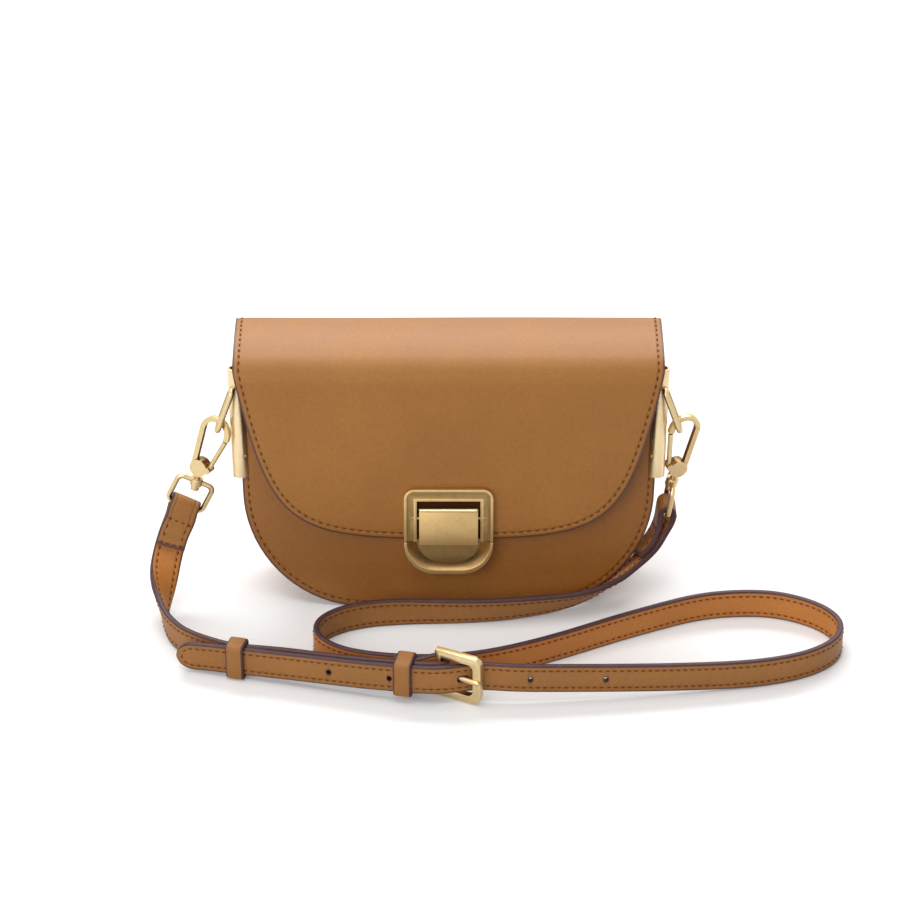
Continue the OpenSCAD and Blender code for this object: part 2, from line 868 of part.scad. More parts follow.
// Strap: the route's points lie on the middle line, each with the direction of the strap's width
long_route = [
    [112.24, -4.2, 45.3], [109.3, -5.2, 36.3], [103.8, -8.2, 27.7], [95.8, -13.2, 20.8], [86.5, -20.1, 15],
    [75.5, -27.4, 11.4], [63, -32.4, 9.2], [48, -36, 8.2], [28, -39.5, 7.8], [-2, -41.2, 7.6],
    [-29, -42, 7.6], [-44, -45, 7.6], [-56, -51, 7.6], [-63, -59, 7.6], [-64.5, -68, 7.6],
    [-60, -77, 7.6], [-51, -84, 7.6], [-38, -88.5, 7.6], [-20, -91, 7.6], [0, -90.5, 7.6],
    [18, -87, 7.6], [36, -80.5, 7.6], [58, -70, 7.6], [81, -57.5, 7.6], [104, -46, 7.6],
    [126, -37, 7.6], [145, -34, 7.6], [161, -35, 7.6], [176, -41, 7.6], [187, -50.5, 7.6],
    [191.5, -62, 7.6], [189, -73, 7.6], [180, -83, 7.6], [165, -91, 7.7], [145, -96.5, 8],
    [122, -100, 8.8], [86, -104, 10.6], [50, -106.8, 12.3], [28, -107.5, 13.2], [13, -106.9, 13.4],
    [-2, -109.7, 13.4], [-14, -109.1, 13.1], [-28, -106.2, 12.5], [-40, -103.6, 12], [-62, -98, 11.2], [-85, -92.2, 10.4],
    [-108, -86.4, 9.6], [-131.5, -80.5, 8.4]];
long_leans = [90, 90, 88, 82, 70, 52, 38, 26, 17, 9, 2];
short_route = [
    [-132.2, -1.8, 47.3], [-134.4, -4.6, 41], [-137.2, -8.8, 34.5], [-139.8, -13.7, 27.5],
    [-141.6, -20, 20.8], [-142.4, -28.5, 15], [-142.2, -38.5, 11], [-139.8, -49.5, 8.6],
    [-134.5, -60.5, 7.7], [-126, -70.5, 8.2], [-115.5, -78.5, 9.2], [-107.2, -83, 9.6],
    [-84.2, -88.8, 10.4], [-61.2, -94.8, 11.2], [-39.2, -100.2, 12], [-28, -102.6, 12.5],
    [-14, -105.5, 13.1], [-8, -106.2, 13.3]];
short_guides = [
    [0.9, 0, -0.44], [0.9, 0, -0.44], [0.9, -0.08, -0.42], [0.86, -0.18, -0.48], [0.76, -0.26, -0.6],
    [0.55, -0.27, -0.79], [0.33, -0.18, -0.93], [0.14, -0.05, -0.99], [0, 0, -1]];
long_widths = [for (i = [0 : len(long_route) - 1])
    let (a = i < len(long_leans) ? long_leans[i] : 0) [0, -sin(a), cos(a)]];
short_widths = [for (i = [0 : len(short_route) - 1]) short_guides[min(i, len(short_guides) - 1)]];
fold_gap = 0.45;
ply_gap = 0.65;
fold_r = eye_wire_r + fold_gap + strap_t / 2;
fold_steps = 5;
folded = 3;
strap_chamfer = 0.5;
ply_step = strap_t + fold_gap;

function unit(v) = v / norm(v);
function run_at(p, i) = unit(p[min(i + 1, len(p) - 1)] - p[max(i - 1, 0)]);
function width_at(p, g, i) = let (t = run_at(p, i)) unit(g[i] - (g[i] * t) * t);
function side_at(p, g, i) = cross(run_at(p, i), width_at(p, g, i));
// One ring of eight corners round a point, u along the width and v through the thickness
function strap_ring(c, u, v) = let (w = strap_w / 2, t = strap_t / 2, k = strap_chamfer) [
    c + (w - k) * u + t * v, c + w * u + (t - k) * v, c + w * u - (t - k) * v, c + (w - k) * u - t * v,
    c - (w - k) * u - t * v, c - w * u - (t - k) * v, c - w * u + (t - k) * v, c - (w - k) * u + t * v];
module strap_sweep(p, g) {
    n = len(p);
    last = 8 * n - 8;
    points = [for (i = [0 : n - 1]) each strap_ring(p[i], width_at(p, g, i), side_at(p, g, i))];
    sides = [for (i = [0 : n - 2], k = [0 : 7]) let (a = 8 * i + k, b = 8 * i + (k + 1) % 8)
        each [[a, a + 8, b], [b, a + 8, b + 8]]];
    caps = [for (k = [1 : 6]) each [[0, k, k + 1], [last, last + k + 1, last + k]]];
    polyhedron(points, concat(sides, caps));
}
// The ply folded back beside the first points of a route
function ply_back(p, g) = [for (i = [folded : -1 : 1])
    p[i] + (i == 1 ? fold_r + ply_step / 2 : ply_step) * side_at(p, g, i)];
// A half turn round a bar, from direction a over direction b, without its last point
function half_turn(c, r, a, b) = [for (i = [0 : fold_steps - 1]) let (q = 180 * i / fold_steps)
    c + r * (cos(q) * a + sin(q) * b)];
// The same width for the folded ply and its turn, then the route's own
function fold_widths(g) = concat([for (i = [folded : -1 : 1]) g[i]], [for (i = [1 : fold_steps]) g[0]], g);

long_path = concat(ply_back(long_route, long_widths),
    half_turn(bar_right_at, fold_r, [-1, 0, 0], [0, 0, 1]), long_route);
short_start = concat(ply_back(short_route, short_widths),
    half_turn(bar_left_at, fold_r, [0, -1, 0], [sin(eye_left_lean), 0, cos(eye_left_lean)]), short_route);

// Buckle: the place of its back bar, and the turns of frame and prong about it
back_bar_at = [-4, -102.4, 13.4];
buckle_turn = 26;
buckle_fold_r = back_bar_r + fold_gap + strap_t / 2;
buckle_end = concat(half_turn(back_bar_at, buckle_fold_r, [0, -1, 0], [1, 0, 0]),
    [[-4, -98.55, 13.4], [-8.5, -99.6, 13.3], [-14, -102, 13.1], [-27, -99.4, 12.6]]);
short_path = concat(short_start, buckle_end);
short_all_widths = concat(fold_widths(short_widths), [for (p = buckle_end) [0, 0, -1]]);

strap_hole_r = 1.3;
strap_holes = [[-57, -99.3, 11.4, -14.5], [-28, -106.1, 12.5, -11], [39, -107.4, 12.7, 2],
    [75, -105, 11.1, 5.5]];
prong_start = [2.2, -1.6];
prong_end = [21.2, -13.3];
prong_play = 3;
slot_h = 4;
slot_len = 12;
module prong_line(r, turn) {
    translate(back_bar_at)
        rotate([0, 0, -turn])
            bar([prong_start[0], prong_start[1], 0], [prong_end[0], prong_end[1], 0], r);
}
module strap_long() {
    color(leather)
        laid() difference() {
            strap_sweep(long_path, fold_widths(long_widths));
            for (p = strap_holes)
                translate([p[0], p[1], p[2]])
                    rotate([90, 0, p[3]])
                        translate([0, 0, -strap_t])
                            cylinder(r = strap_hole_r, h = 2 * strap_t);
            prong_line(strap_hole_r, 0);
            prong_line(strap_hole_r, prong_play);
        }
}
module strap_short() {
    color(leather)
        laid() difference() {
            strap_sweep(short_path, short_all_widths);
            translate(back_bar_at - [slot_len / 2, strap_w / 2, slot_h / 2])
                cube([slot_len, strap_w, slot_h]);
        }
}

buckle_reach = buckle_len - back_bar_r - buckle_bar / 2;
frame_round = 5;
module buckle_plan() {
    half = buckle_h / 2;
    tip = buckle_reach + buckle_bar / 2;
    r = frame_round;
    polygon(concat([[-back_bar_r, -half], [tip - r, -half]],
        [for (i = [1 : 8]) let (a = 90 * i / 8) [tip - r + r * sin(a), r - half - r * cos(a)]],
        [for (i = [0 : 8]) let (a = 90 * i / 8) [tip - r + r * cos(a), half - r + r * sin(a)]],
        [[-back_bar_r, half]]));
}
module buckle_window() {
    half = buckle_h / 2 - buckle_bar;
    tip = buckle_reach - buckle_bar / 2;
    r = frame_round - buckle_bar / 2;
    polygon(concat([[-back_bar_r - over, -half], [tip - r, -half]],
        [for (i = [1 : 6]) let (a = 15 * i) [tip - r + r * sin(a), r - half - r * cos(a)]],
        [for (i = [0 : 6]) let (a = 15 * i) [tip - r + r * cos(a), half - r + r * sin(a)]],
        [[-back_bar_r - over, half]]));
}
module buckle_frame() {
    color(brass)
        laid() difference() {
            translate(back_bar_at)
                rotate([90, 0, -buckle_turn]) {
                    translate([0, 0, -buckle_t / 2])
                        linear_extrude(buckle_t)
                            difference() {
                                buckle_plan();
                                buckle_window();
                            }
                    translate([0, buckle_h / 2 - buckle_bar / 2, 0])
                        rotate([90, 0, 0])
                            cylinder(r = back_bar_r, h = buckle_h - buckle_bar);
                }
            prong_line(prong_r + turn_gap, 0);
        }
}
eye_outer_r = 3.1;
eye_t = 3;
module buckle_prong() {
    color(brass)
        laid() translate(back_bar_at)
            difference() {
                union() {
                    translate([0, 0, -eye_t / 2])
                        cylinder(r = eye_outer_r, h = eye_t);
                    bar([prong_start[0], prong_start[1], 0], [prong_end[0], prong_end[1], 0], prong_r);
                }
                translate([0, 0, -eye_t])
                    cylinder(r = back_bar_r + turn_gap, h = 2 * eye_t);
            }
}

// Keepers: leather loops round the plies, at a place, turned about Z, with a depth inside
keeper_round = 1.6;
fixed_at = [-20.8, -104.1, 12.8];
fixed_turn = -12;
fixed_depth = 3 * strap_t + 2 * ply_gap + 2 * loose_gap;
loose_at = [-102, -86.1, 9.8];
loose_turn = -14.2;
loose_depth = 2 * strap_t + ply_gap + 2 * loose_gap;
keeper_h = strap_w + 2 * loose_gap;
module keeper_plan(depth, h, r) {
    polygon([for (i = [0 : 19]) let (q = floor(i / 5), a = 90 * q + 22.5 * (i % 5),
        x = (q == 0 || q == 3 ? 1 : -1) * (depth / 2 - r), y = (q < 2 ? 1 : -1) * (h / 2 - r))
        [x + r * cos(a), y + r * sin(a)]]);
}
module keeper(depth) {
    rotate([90, 0, 90])
        translate([0, 0, -keeper_w / 2])
            linear_extrude(keeper_w)
                difference() {
                    keeper_plan(depth + 2 * keeper_t, keeper_h + 2 * keeper_t, keeper_round);
                    keeper_plan(depth, keeper_h, loose_gap);
                }
}
module fixed_keeper() {
    color(leather) laid() translate(fixed_at) rotate([0, 0, fixed_turn]) keeper(fixed_depth);
}
module loose_keeper() {
    color(leather) laid() translate(loose_at) rotate([0, 0, loose_turn]) keeper(loose_depth);
}

back_panel();
front_panel();
gusset();
front_lining();
back_lining();
gusset_lining();
top_facing();
slip_pocket();
base_board();
catch_plate();
catch_backing();
catch_magnet();
catch_screws();
clip_left();
clip_right();
clip_rivets();
flap_leather();
flap_lining();
clasp_frame();
clasp_backing();
clasp_screws();
lever_pin();
lever_spring();
clasp_lever();
ring_left();
ring_right();
hook_left();
hook_right();
gate_left();
gate_right();
gate_pin_left();
gate_pin_right();
eye_left();
eye_right();
strap_long();
strap_short();
buckle_frame();
buckle_prong();
fixed_keeper();
loose_keeper();
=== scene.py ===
# %% [markdown]
# # A small saddle handbag
# The bag is sewn from tan leather, with a curved flap, a satin brass press clasp, two brass side
# rings and a clip-on strap with a buckle. A CAD model of it is the frame: it fixes every size and
# joint. This lesson dresses that frame. The soft leather is modelled again as sheets with painted
# edges and stitching, and the brass pieces keep their CAD shape with softened edges.

# %% Load the frame
import math
import bpy
import bmesh
import numpy as np
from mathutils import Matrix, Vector


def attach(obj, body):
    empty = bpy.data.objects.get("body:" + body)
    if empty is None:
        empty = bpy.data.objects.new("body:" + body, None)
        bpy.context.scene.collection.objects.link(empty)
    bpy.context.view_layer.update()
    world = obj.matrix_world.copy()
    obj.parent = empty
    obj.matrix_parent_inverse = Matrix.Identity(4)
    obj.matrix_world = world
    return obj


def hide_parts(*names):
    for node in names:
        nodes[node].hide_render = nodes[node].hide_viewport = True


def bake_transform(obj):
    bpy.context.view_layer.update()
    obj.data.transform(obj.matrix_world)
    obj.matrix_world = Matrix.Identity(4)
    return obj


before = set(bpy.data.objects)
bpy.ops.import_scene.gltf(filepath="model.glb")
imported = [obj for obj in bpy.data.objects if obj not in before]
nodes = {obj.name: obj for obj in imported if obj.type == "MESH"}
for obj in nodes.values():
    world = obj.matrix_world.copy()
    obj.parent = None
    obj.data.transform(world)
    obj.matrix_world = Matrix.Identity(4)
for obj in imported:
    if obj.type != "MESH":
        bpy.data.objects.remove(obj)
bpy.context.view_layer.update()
MM = 0.001

# %% [markdown]
# ## Camera
# The photo looks down on the bag at 30 degrees through a long lens, so the camera stands 1.5 m
# away. A camera nearer by would show the strap in front too large and the bag behind it too small.
# Its aim was worked out from the bag's outline and the strap's width.

# %% Camera
aim = Vector((0.7, -17.7, 87.7)) * MM
distance = 1.5
elevation = math.radians(30)
camera_data = bpy.data.cameras.new("camera")
camera_data.sensor_width = 36
camera_data.lens = 122.7
camera = bpy.data.objects.new("camera", camera_data)
bpy.context.scene.collection.objects.link(camera)
camera.location = aim + distance * Vector((0, -math.cos(elevation), math.sin(elevation)))
camera.rotation_euler = (math.pi / 2 - elevation, 0, 0)
bpy.context.scene.camera = camera
print("camera at", [round(v, 3) for v in camera.location])

# %% [markdown]
# ## Shader maths
# Nodes can be added and linked one by one, but a finish is easier to read as a formula. A small
# class wraps a socket, so that `1 - mask * 0.5` adds its Math nodes.

# %% Sockets with arithmetic


def srgb(red, green, blue):
    """A colour as seen on screen, 0 to 255, turned into the linear values that shaders use."""
    shares = (c / 255 for c in (red, green, blue))
    return [((c + 0.055) / 1.055) ** 2.4 if c > 0.04 else c / 12.92 for c in shares] + [1]


class Level:
    """A number that changes over a surface."""

    def __init__(self, finish, socket):
        self.finish, self.socket = finish, socket

    def join(self, operation, *values):
        return self.finish.add("ShaderNodeMath", {"operation": operation}, *values)

    def __add__(self, other):
        return self.join("ADD", self, other)

    def __sub__(self, other):
        return self.join("SUBTRACT", self, other)

    def __rsub__(self, other):
        return self.join("SUBTRACT", other, self)

    def __mul__(self, other):
        return self.join("MULTIPLY", self, other)

    def between(self, low, high):
        """0 below low, 1 above high, smooth in between."""
        settings = {"interpolation_type": "SMOOTHSTEP"}
        return self.finish.add("ShaderNodeMapRange", settings, self, low, high)

    __radd__ = __add__


print("a tan on screen is", [round(c, 3) for c in srgb(161, 105, 36)], "in a shader")

# %% [markdown]
# A second class holds the tree of one material. One of its methods adds any node, with its settings
# and with values or links for its sockets. The others are short names for the nodes that leather,
# brass and cloth all need, so that a finish reads as a recipe and not as wiring.

# %% A finish under construction


class Finish:
    """The nodes of a material, or those of the world."""

    def __init__(self, name, owner=None):
        self.owner = owner or bpy.data.materials.new(name)
        self.owner.use_nodes = True
        self.tree = self.owner.node_tree
        self.shader = self.tree.nodes["Background" if owner else "Principled BSDF"]

    def add(self, kind, settings, *values, out=0, **named):
        """Adds a node: settings first, then values or links for its sockets, by place or by name."""
        node = self.tree.nodes.new(kind)
        for key, value in settings.items():
            setattr(node, key, value)
        for key, value in list(enumerate(values)) + list(named.items()):
            self.feed(node.inputs[key.replace("_", " ") if key in named else key], value)
        return Level(self, node.outputs[out])

    def feed(self, socket, value):
        if isinstance(value, Level):
            self.tree.links.new(value.socket, socket)
        elif value is not None:
            socket.default_value = value

    def place(self):
        """Where a point lies, in metres."""
        return self.add("ShaderNodeTexCoord", {}, out=3)

    def stretched(self, where, scale):
        return self.add("ShaderNodeMapping", {}, Vector=where, Scale=scale)

    def noise(self, where, scale, detail=2.0, rough=0.5):
        return self.add("ShaderNodeTexNoise", {}, Vector=where, Scale=scale, Detail=detail,
                        Roughness=rough)

    def cells(self, where, scale):
        """How far each point is from the edge of its cell."""
        return self.add("ShaderNodeTexVoronoi", {"feature": "DISTANCE_TO_EDGE"}, Vector=where,
                        Scale=scale)

    def mix(self, share, first, second):
        """A colour between two colours."""
        node = self.tree.nodes.new("ShaderNodeMix")
        node.data_type = "RGBA"
        self.feed(node.inputs["Factor"], share)
        self.feed(node.inputs[6], first)
        self.feed(node.inputs[7], second)
        return Level(self, node.outputs[2])

    def bump(self, height, depth, strength, under=None):
        return self.add("ShaderNodeBump", {}, Height=height, Distance=depth, Strength=strength,
                        Normal=under)

    def given(self, name):
        """A number that the piece's mesh carries at each point."""
        return self.add("ShaderNodeAttribute", {"attribute_name": name}, out=2)

    def set(self, **sockets):
        for key, value in sockets.items():
            self.feed(self.shader.inputs[key.replace("_", " ")], value)
        return self.owner


print("a finish has:", [name for name in vars(Finish) if not name.startswith("_")])

# %% [markdown]
# ## Leather finishes
# Smooth calf leather has a very fine pebble of about half a millimetre, faint long creases and a
# soft sheen. The colour drifts slowly, and the pebble's valleys are a little darker. A picture of
# leather could be wrapped round each piece, but it would show where it ends and repeats. Cells and
# noise read a point's place instead: cells give the pebble and two scales of noise give the drift.
# The flesh side is rougher and more orange. The front panel uses a darker copy of the tan, which paints in
# the shade that the flap casts on it.

# %% Leather


def leather(name, body, valley, glow, rough=0.42, seam_at=3.0):
    """Smooth calf. The edge distance places the painted rim, the stitches' dent, and painted shade in the
    dent and along the rim.
    """
    f = Finish(name)
    where = f.place()
    rim = f.given("edge")
    painted = 1 - rim.between(0.7, 1.0)
    pebble = f.cells(where, 1900).between(0.0, 0.35)
    fine = f.noise(where, 3600, 2, 0.6)
    drift = f.noise(where, 16, 3, 0.55).between(0.3, 0.72)
    crease = f.noise(f.stretched(where, (60, 60, 260)), 1.0, 4, 0.6)
    rubbed = f.noise(where, 420, 3, 0.6).between(0.45, 0.75)
    speckle = f.noise(where, 1300, 2, 0.75).between(0.34, 0.66)
    off = rim - seam_at
    seam = 1 - off.join("ABSOLUTE", off).between(0.2, 0.9)
    colour = f.mix(drift, body, glow)
    colour = f.mix((1 - pebble) * 0.26 + speckle * 0.16, colour, valley)
    # rubbed is random wear; the seam and near-rim terms darken the stitch groove and a 2 mm band inside the
    # cut edge: painted shade.
    colour = f.mix(rubbed * 0.14 + seam * 0.16 + (1 - rim.between(0.6, 2.2)) * 0.25, colour, valley)
    colour = f.mix(painted, colour, srgb(82, 48, 42))
    grain = (pebble * 0.55 + fine * 0.35 + crease * 0.5) * (1 - painted)
    return f.set(Base_Color=colour, Specular_IOR_Level=0.42, Coat_Weight=0.06, Coat_Roughness=0.25,
                 Roughness=rough + (1 - pebble) * 0.07 + drift * 0.05 - painted * 0.06,
                 Normal=f.bump(seam * -1.0, 0.00025, 0.9, f.bump(grain, 0.00007, 0.8)))


tan = leather("tan_calf", srgb(161, 105, 36), srgb(108, 62, 15), srgb(171, 114, 44))
# A darker copy of the tan for the front panel: painted shade from the flap.
shaded_front_tan = leather("front_calf_painted_shade", srgb(151, 95, 30), srgb(100, 56, 12), srgb(160, 103, 36))
strap_seam_in = 2.8
strap_face = leather("strap_outer_calf", srgb(160, 105, 43), srgb(104, 62, 22), srgb(170, 113, 49),
                     0.5, seam_at=strap_seam_in)
strap_back = leather("strap_inner_calf", srgb(194, 124, 52), srgb(146, 84, 28), srgb(202, 132, 60),
                     0.54, seam_at=strap_seam_in)
flap_inner = leather("inner_calf", srgb(176, 112, 54), srgb(128, 74, 30), srgb(186, 122, 62), 0.54)
print("leathers:", [m.name for m in (tan, shaded_front_tan, strap_face, strap_back, flap_inner)])

# %% [markdown]
# A cut edge of leather is painted, so that it doesn't fray: dark plum on the strap, a warmer brown
# on the panels. Thread has a twist, which a diagonal wave gives. The lining is a cotton twill,
# whose two sets of threads are two crossed waves. Threads modelled one by one would cost millions
# of faces and look the same from here.

# %% Edge paint, thread and cloth


def edge_paint(name, fresh, rubbed):
    """The paint of a cut edge, rubbed paler in places."""
    f = Finish(name)
    where = f.place()
    worn = f.noise(where, 260, 3, 0.6).between(0.5, 0.78)
    colour = f.mix(worn * 0.5, fresh, rubbed)
    return f.set(Base_Color=colour, Roughness=0.42 + worn * 0.14, Specular_IOR_Level=0.25,
                 Normal=f.bump(f.noise(where, 900, 2), 0.00008, 0.6))


paint = edge_paint("strap_edge_paint", srgb(74, 48, 50), srgb(100, 72, 74))
rim_paint = edge_paint("panel_edge_paint", srgb(80, 44, 34), srgb(108, 66, 52))


def thread_finish():
    f = Finish("thread")
    twist = f.add("ShaderNodeTexWave", {"wave_type": "BANDS", "bands_direction": "DIAGONAL"},
                  Vector=f.place(), Scale=700)
    colour = f.mix(twist * 0.6, srgb(116, 62, 20), srgb(84, 42, 12))
    return f.set(Base_Color=colour, Roughness=0.8, Specular_IOR_Level=0.2,
                 Normal=f.bump(twist, 0.00006, 0.7))


def cloth_finish():
    f = Finish("lining_twill")
    where = f.place()
    across = f.add("ShaderNodeTexWave", {"bands_direction": "X"}, Vector=where, Scale=520)
    along = f.add("ShaderNodeTexWave", {"bands_direction": "Z"}, Vector=where, Scale=520)
    weave = across * 0.5 + along * 0.5
    colour = f.mix(weave * 0.6 + f.noise(where, 60, 3) * 0.3, srgb(132, 106, 72), srgb(166, 138, 98))
    return f.set(Base_Color=colour, Roughness=0.82, Normal=f.bump(weave, 0.0001, 0.6))


thread, cloth = thread_finish(), cloth_finish()
print("trims:", [m.name for m in (paint, rim_paint, thread, cloth)])

# %% [markdown]
# ## Metal finishes
# The fittings are cast brass with a fine satin brushing: pale gold and soft highlights. Brush marks are far
# too fine for a mesh, so long stretched noise gives them, in bump and roughness. The brass isn't given one
# colour everywhere: a paler copy paints light on the clips, darker copies paint shade on the clasp and the
# catch, and the inner side of a loop is painted brown, as shade and the reflection of the leather. So there
# are several, and loops carry a number at each point that says how far it faces the loop's opening.

# %% Brass, steel and board
brushed_across, brushed_up = (500, 5200, 5200), (5200, 5200, 500)


def metal(name, body, dull, rough, brush=brushed_across):
    """Satin metal, with brush lines along the axis that brush stretches."""
    f = Finish(name)
    where = f.place()
    lines = f.noise(f.stretched(where, brush), 1.0, 3, 0.65)
    spots = f.noise(where, 240, 4, 0.6).between(0.42, 0.72)
    grit = f.noise(where, 2600, 2, 0.7).between(0.35, 0.65)
    colour = f.mix(spots * 0.25 + grit * 0.3, body, dull)
    # Painted shade: points that face a loop's opening turn brown, for shade and the leather's reflection.
    colour = f.mix(f.given("hollow") * 0.85, colour, srgb(104, 70, 34))
    return f.set(Base_Color=colour, Metallic=1.0, Roughness=rough + lines * 0.14 + spots * 0.06,
                 Normal=f.bump(lines, 0.00004, 0.5))


brass = metal("satin_brass", srgb(216, 194, 148), srgb(184, 158, 112), 0.27)
# A paler copy of the brass for the clips and the lever's rolled edge: painted light.
clip_brass_painted_light = metal("clip_brass_painted_light", srgb(232, 210, 170), srgb(210, 186, 142), 0.3, brushed_up)
# The clasp's frame and lever, and the catch's rim, use darker copies of the brass: painted shade.
frame_brass = metal("frame_brass", srgb(212, 182, 128), srgb(182, 152, 102), 0.3)
clasp_brass = metal("clasp_brass", srgb(200, 169, 116), srgb(170, 140, 92), 0.3)
# The darkest copy paints shade in the clasp's groove, on the lever below the hem, on the lever pin and on
# the rivets.
shade_brass = metal("brass_painted_shade", srgb(164, 136, 89), srgb(128, 104, 64), 0.36)
# Browner brass for the bottom of the catch's dish: painted reflection of the leather.
dish_brass_painted_reflection = metal("dish_brass_painted_reflection", srgb(188, 152, 102), srgb(162, 124, 76), 0.34)
steel = metal("plain_steel", srgb(178, 176, 170), srgb(140, 138, 132), 0.3, (900, 4000, 4000))


def board_finish():
    f = Finish("fibre_board")
    where = f.place()
    fibre = f.noise(f.stretched(where, (200, 900, 900)), 1.0, 4, 0.7)
    colour = f.mix(fibre, srgb(96, 78, 60), srgb(128, 106, 82))
    return f.set(Base_Color=colour, Roughness=0.85, Normal=f.bump(fibre, 0.0001, 0.5))


board = board_finish()
print("metals:", [m.name for m in (brass, clip_brass_painted_light, frame_brass, clasp_brass, shade_brass, dish_brass_painted_reflection,
                                   steel)], "and", board.name)

# %% [markdown]
# ## Meshes from rows of points
# Most of this bag is sheet and band. A plane could be cut and bent by hand, but each of these
# surfaces follows a rule, so it is worked out as rows of points with faces between them, and every
# size stays a number that can be changed. One helper turns such rows into a mesh. Points are
# written in millimetres and stored in metres, with the object at the origin. A number called edge
# goes along with each point, its distance to the piece's nearest edge in millimetres, so that a
# finish can follow the seams.

# %% A mesh from rows of points
far_from_edge = 30.0


def piece_of(name, points, faces, materials, edge=None, places=None):
    """An object from points in millimetres; places says which material each face has."""
    mesh = bpy.data.meshes.new(name)
    mesh.from_pydata([tuple(float(c) * MM for c in p) for p in points], [], faces)
    for material in materials:
        mesh.materials.append(material)
    if places is not None:
        mesh.polygons.foreach_set("material_index", places)
    if edge is None:
        edge = [far_from_edge] * len(points)
    mesh.attributes.new("edge", "FLOAT", "POINT").data.foreach_set("value", [float(e) for e in edge])
    mesh.polygons.foreach_set("use_smooth", [True] * len(mesh.polygons))
    mesh.update()
    made = bpy.data.objects.new(name, mesh)
    bpy.context.scene.collection.objects.link(made)
    return made


def grid_faces(rows, columns, around=False, looped=False):
    """Faces between the points of a grid: around closes each row, looped joins the last to the first."""
    return [(i * columns + j, i * columns + (j + 1) % columns,
             (i + 1) % rows * columns + (j + 1) % columns, (i + 1) % rows * columns + j)
            for i in range(rows if looped else rows - 1) for j in range(columns if around else columns - 1)]


print("faces of a grid of 3 rows and 4 columns:", len(grid_faces(3, 4)))

# %% [markdown]
# Leather isn't a surface but a sheet 1 to 2 mm thick. Drawing its back and its rim as well would
# triple the work, so Solidify gives it that wall, with a second material on its inner side and a
# third on its cut edge, and Bevel rounds the cut. Each modifier is worked into the mesh at once, so
# that the finished piece is a plain mesh.

# %% From a surface to a sheet
OUTER, INNER, RIM = 0, 1, 2


def finished(made):
    """The same object with its modifiers worked into the mesh."""
    bpy.context.view_layer.update()
    shape = made.evaluated_get(bpy.context.evaluated_depsgraph_get())
    mesh = bpy.data.meshes.new_from_object(shape)
    mesh.name = made.name
    made.modifiers.clear()
    made.data = mesh
    return made


def sharp(made, degrees=40):
    """Smooth shading that breaks at edges sharper than this."""
    made.data.polygons.foreach_set("use_smooth", [True] * len(made.data.polygons))
    made.data.set_sharp_from_angle(angle=math.radians(degrees))
    return made


def turned_out(made):
    """Recalculates the normals of a closed shell."""
    b = bmesh.new()
    b.from_mesh(made.data)
    bmesh.ops.recalc_face_normals(b, faces=b.faces)
    b.to_mesh(made.data)
    b.free()
    return made


def thick(made, millimetres, round_off=0.45, steps=2):
    """Gives a sheet its thickness, behind its own face, and rounds its cut edges."""
    wall = made.modifiers.new("wall", "SOLIDIFY")
    wall.thickness = millimetres * MM
    wall.offset = -1
    wall.use_even_offset = True
    wall.material_offset = INNER
    wall.material_offset_rim = RIM
    finished(made)
    if round_off:
        edge = made.modifiers.new("edge", "BEVEL")
        edge.width = round_off * MM
        edge.segments = steps
        edge.limit_method = "ANGLE"
        edge.angle_limit = math.radians(50)
        finished(made)
    return sharp(made, 60)


print("slots of a sheet: outer side", OUTER, "inner side", INNER, "cut edge", RIM)

# %% [markdown]
# A finished piece is handed to the frame: it rides on one of the bodies that the joints move, and stands for
# the CAD pieces that it replaces, which are hidden.

# %% Sizes, lines and the hand-over


def box_of(made):
    """The lowest and highest corner of an object, in metres."""
    corners = np.array(made.bound_box)
    return corners.min(axis=0), corners.max(axis=0)


def dress(made, body, slot, *replaced):
    """Hands a finished piece to the frame."""
    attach(made, body)
    if replaced:
        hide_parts(*replaced)
    low, high = box_of(made)
    print(f"{made.name}: {len(made.data.polygons)} faces, {np.round((high - low) * 1000, 1)} mm")
    return made


def unit(v):
    v = np.asarray(v, float)
    return v / np.linalg.norm(v, axis=-1, keepdims=True)


def distances(line):
    """How far along a line of points each point lies."""
    return np.concatenate([[0], np.cumsum(np.linalg.norm(np.diff(line, axis=0), axis=1))])


def read_at(t, length, values):
    """Rows of values, known at the distances in length, read between them at t."""
    return np.stack([np.interp(t, length, values[:, k]) for k in range(values.shape[1])], axis=1)


print("a walk of 3 and 4 mm:", distances(np.array([(0, 0, 0), (3, 0, 0), (3, 4, 0)])))
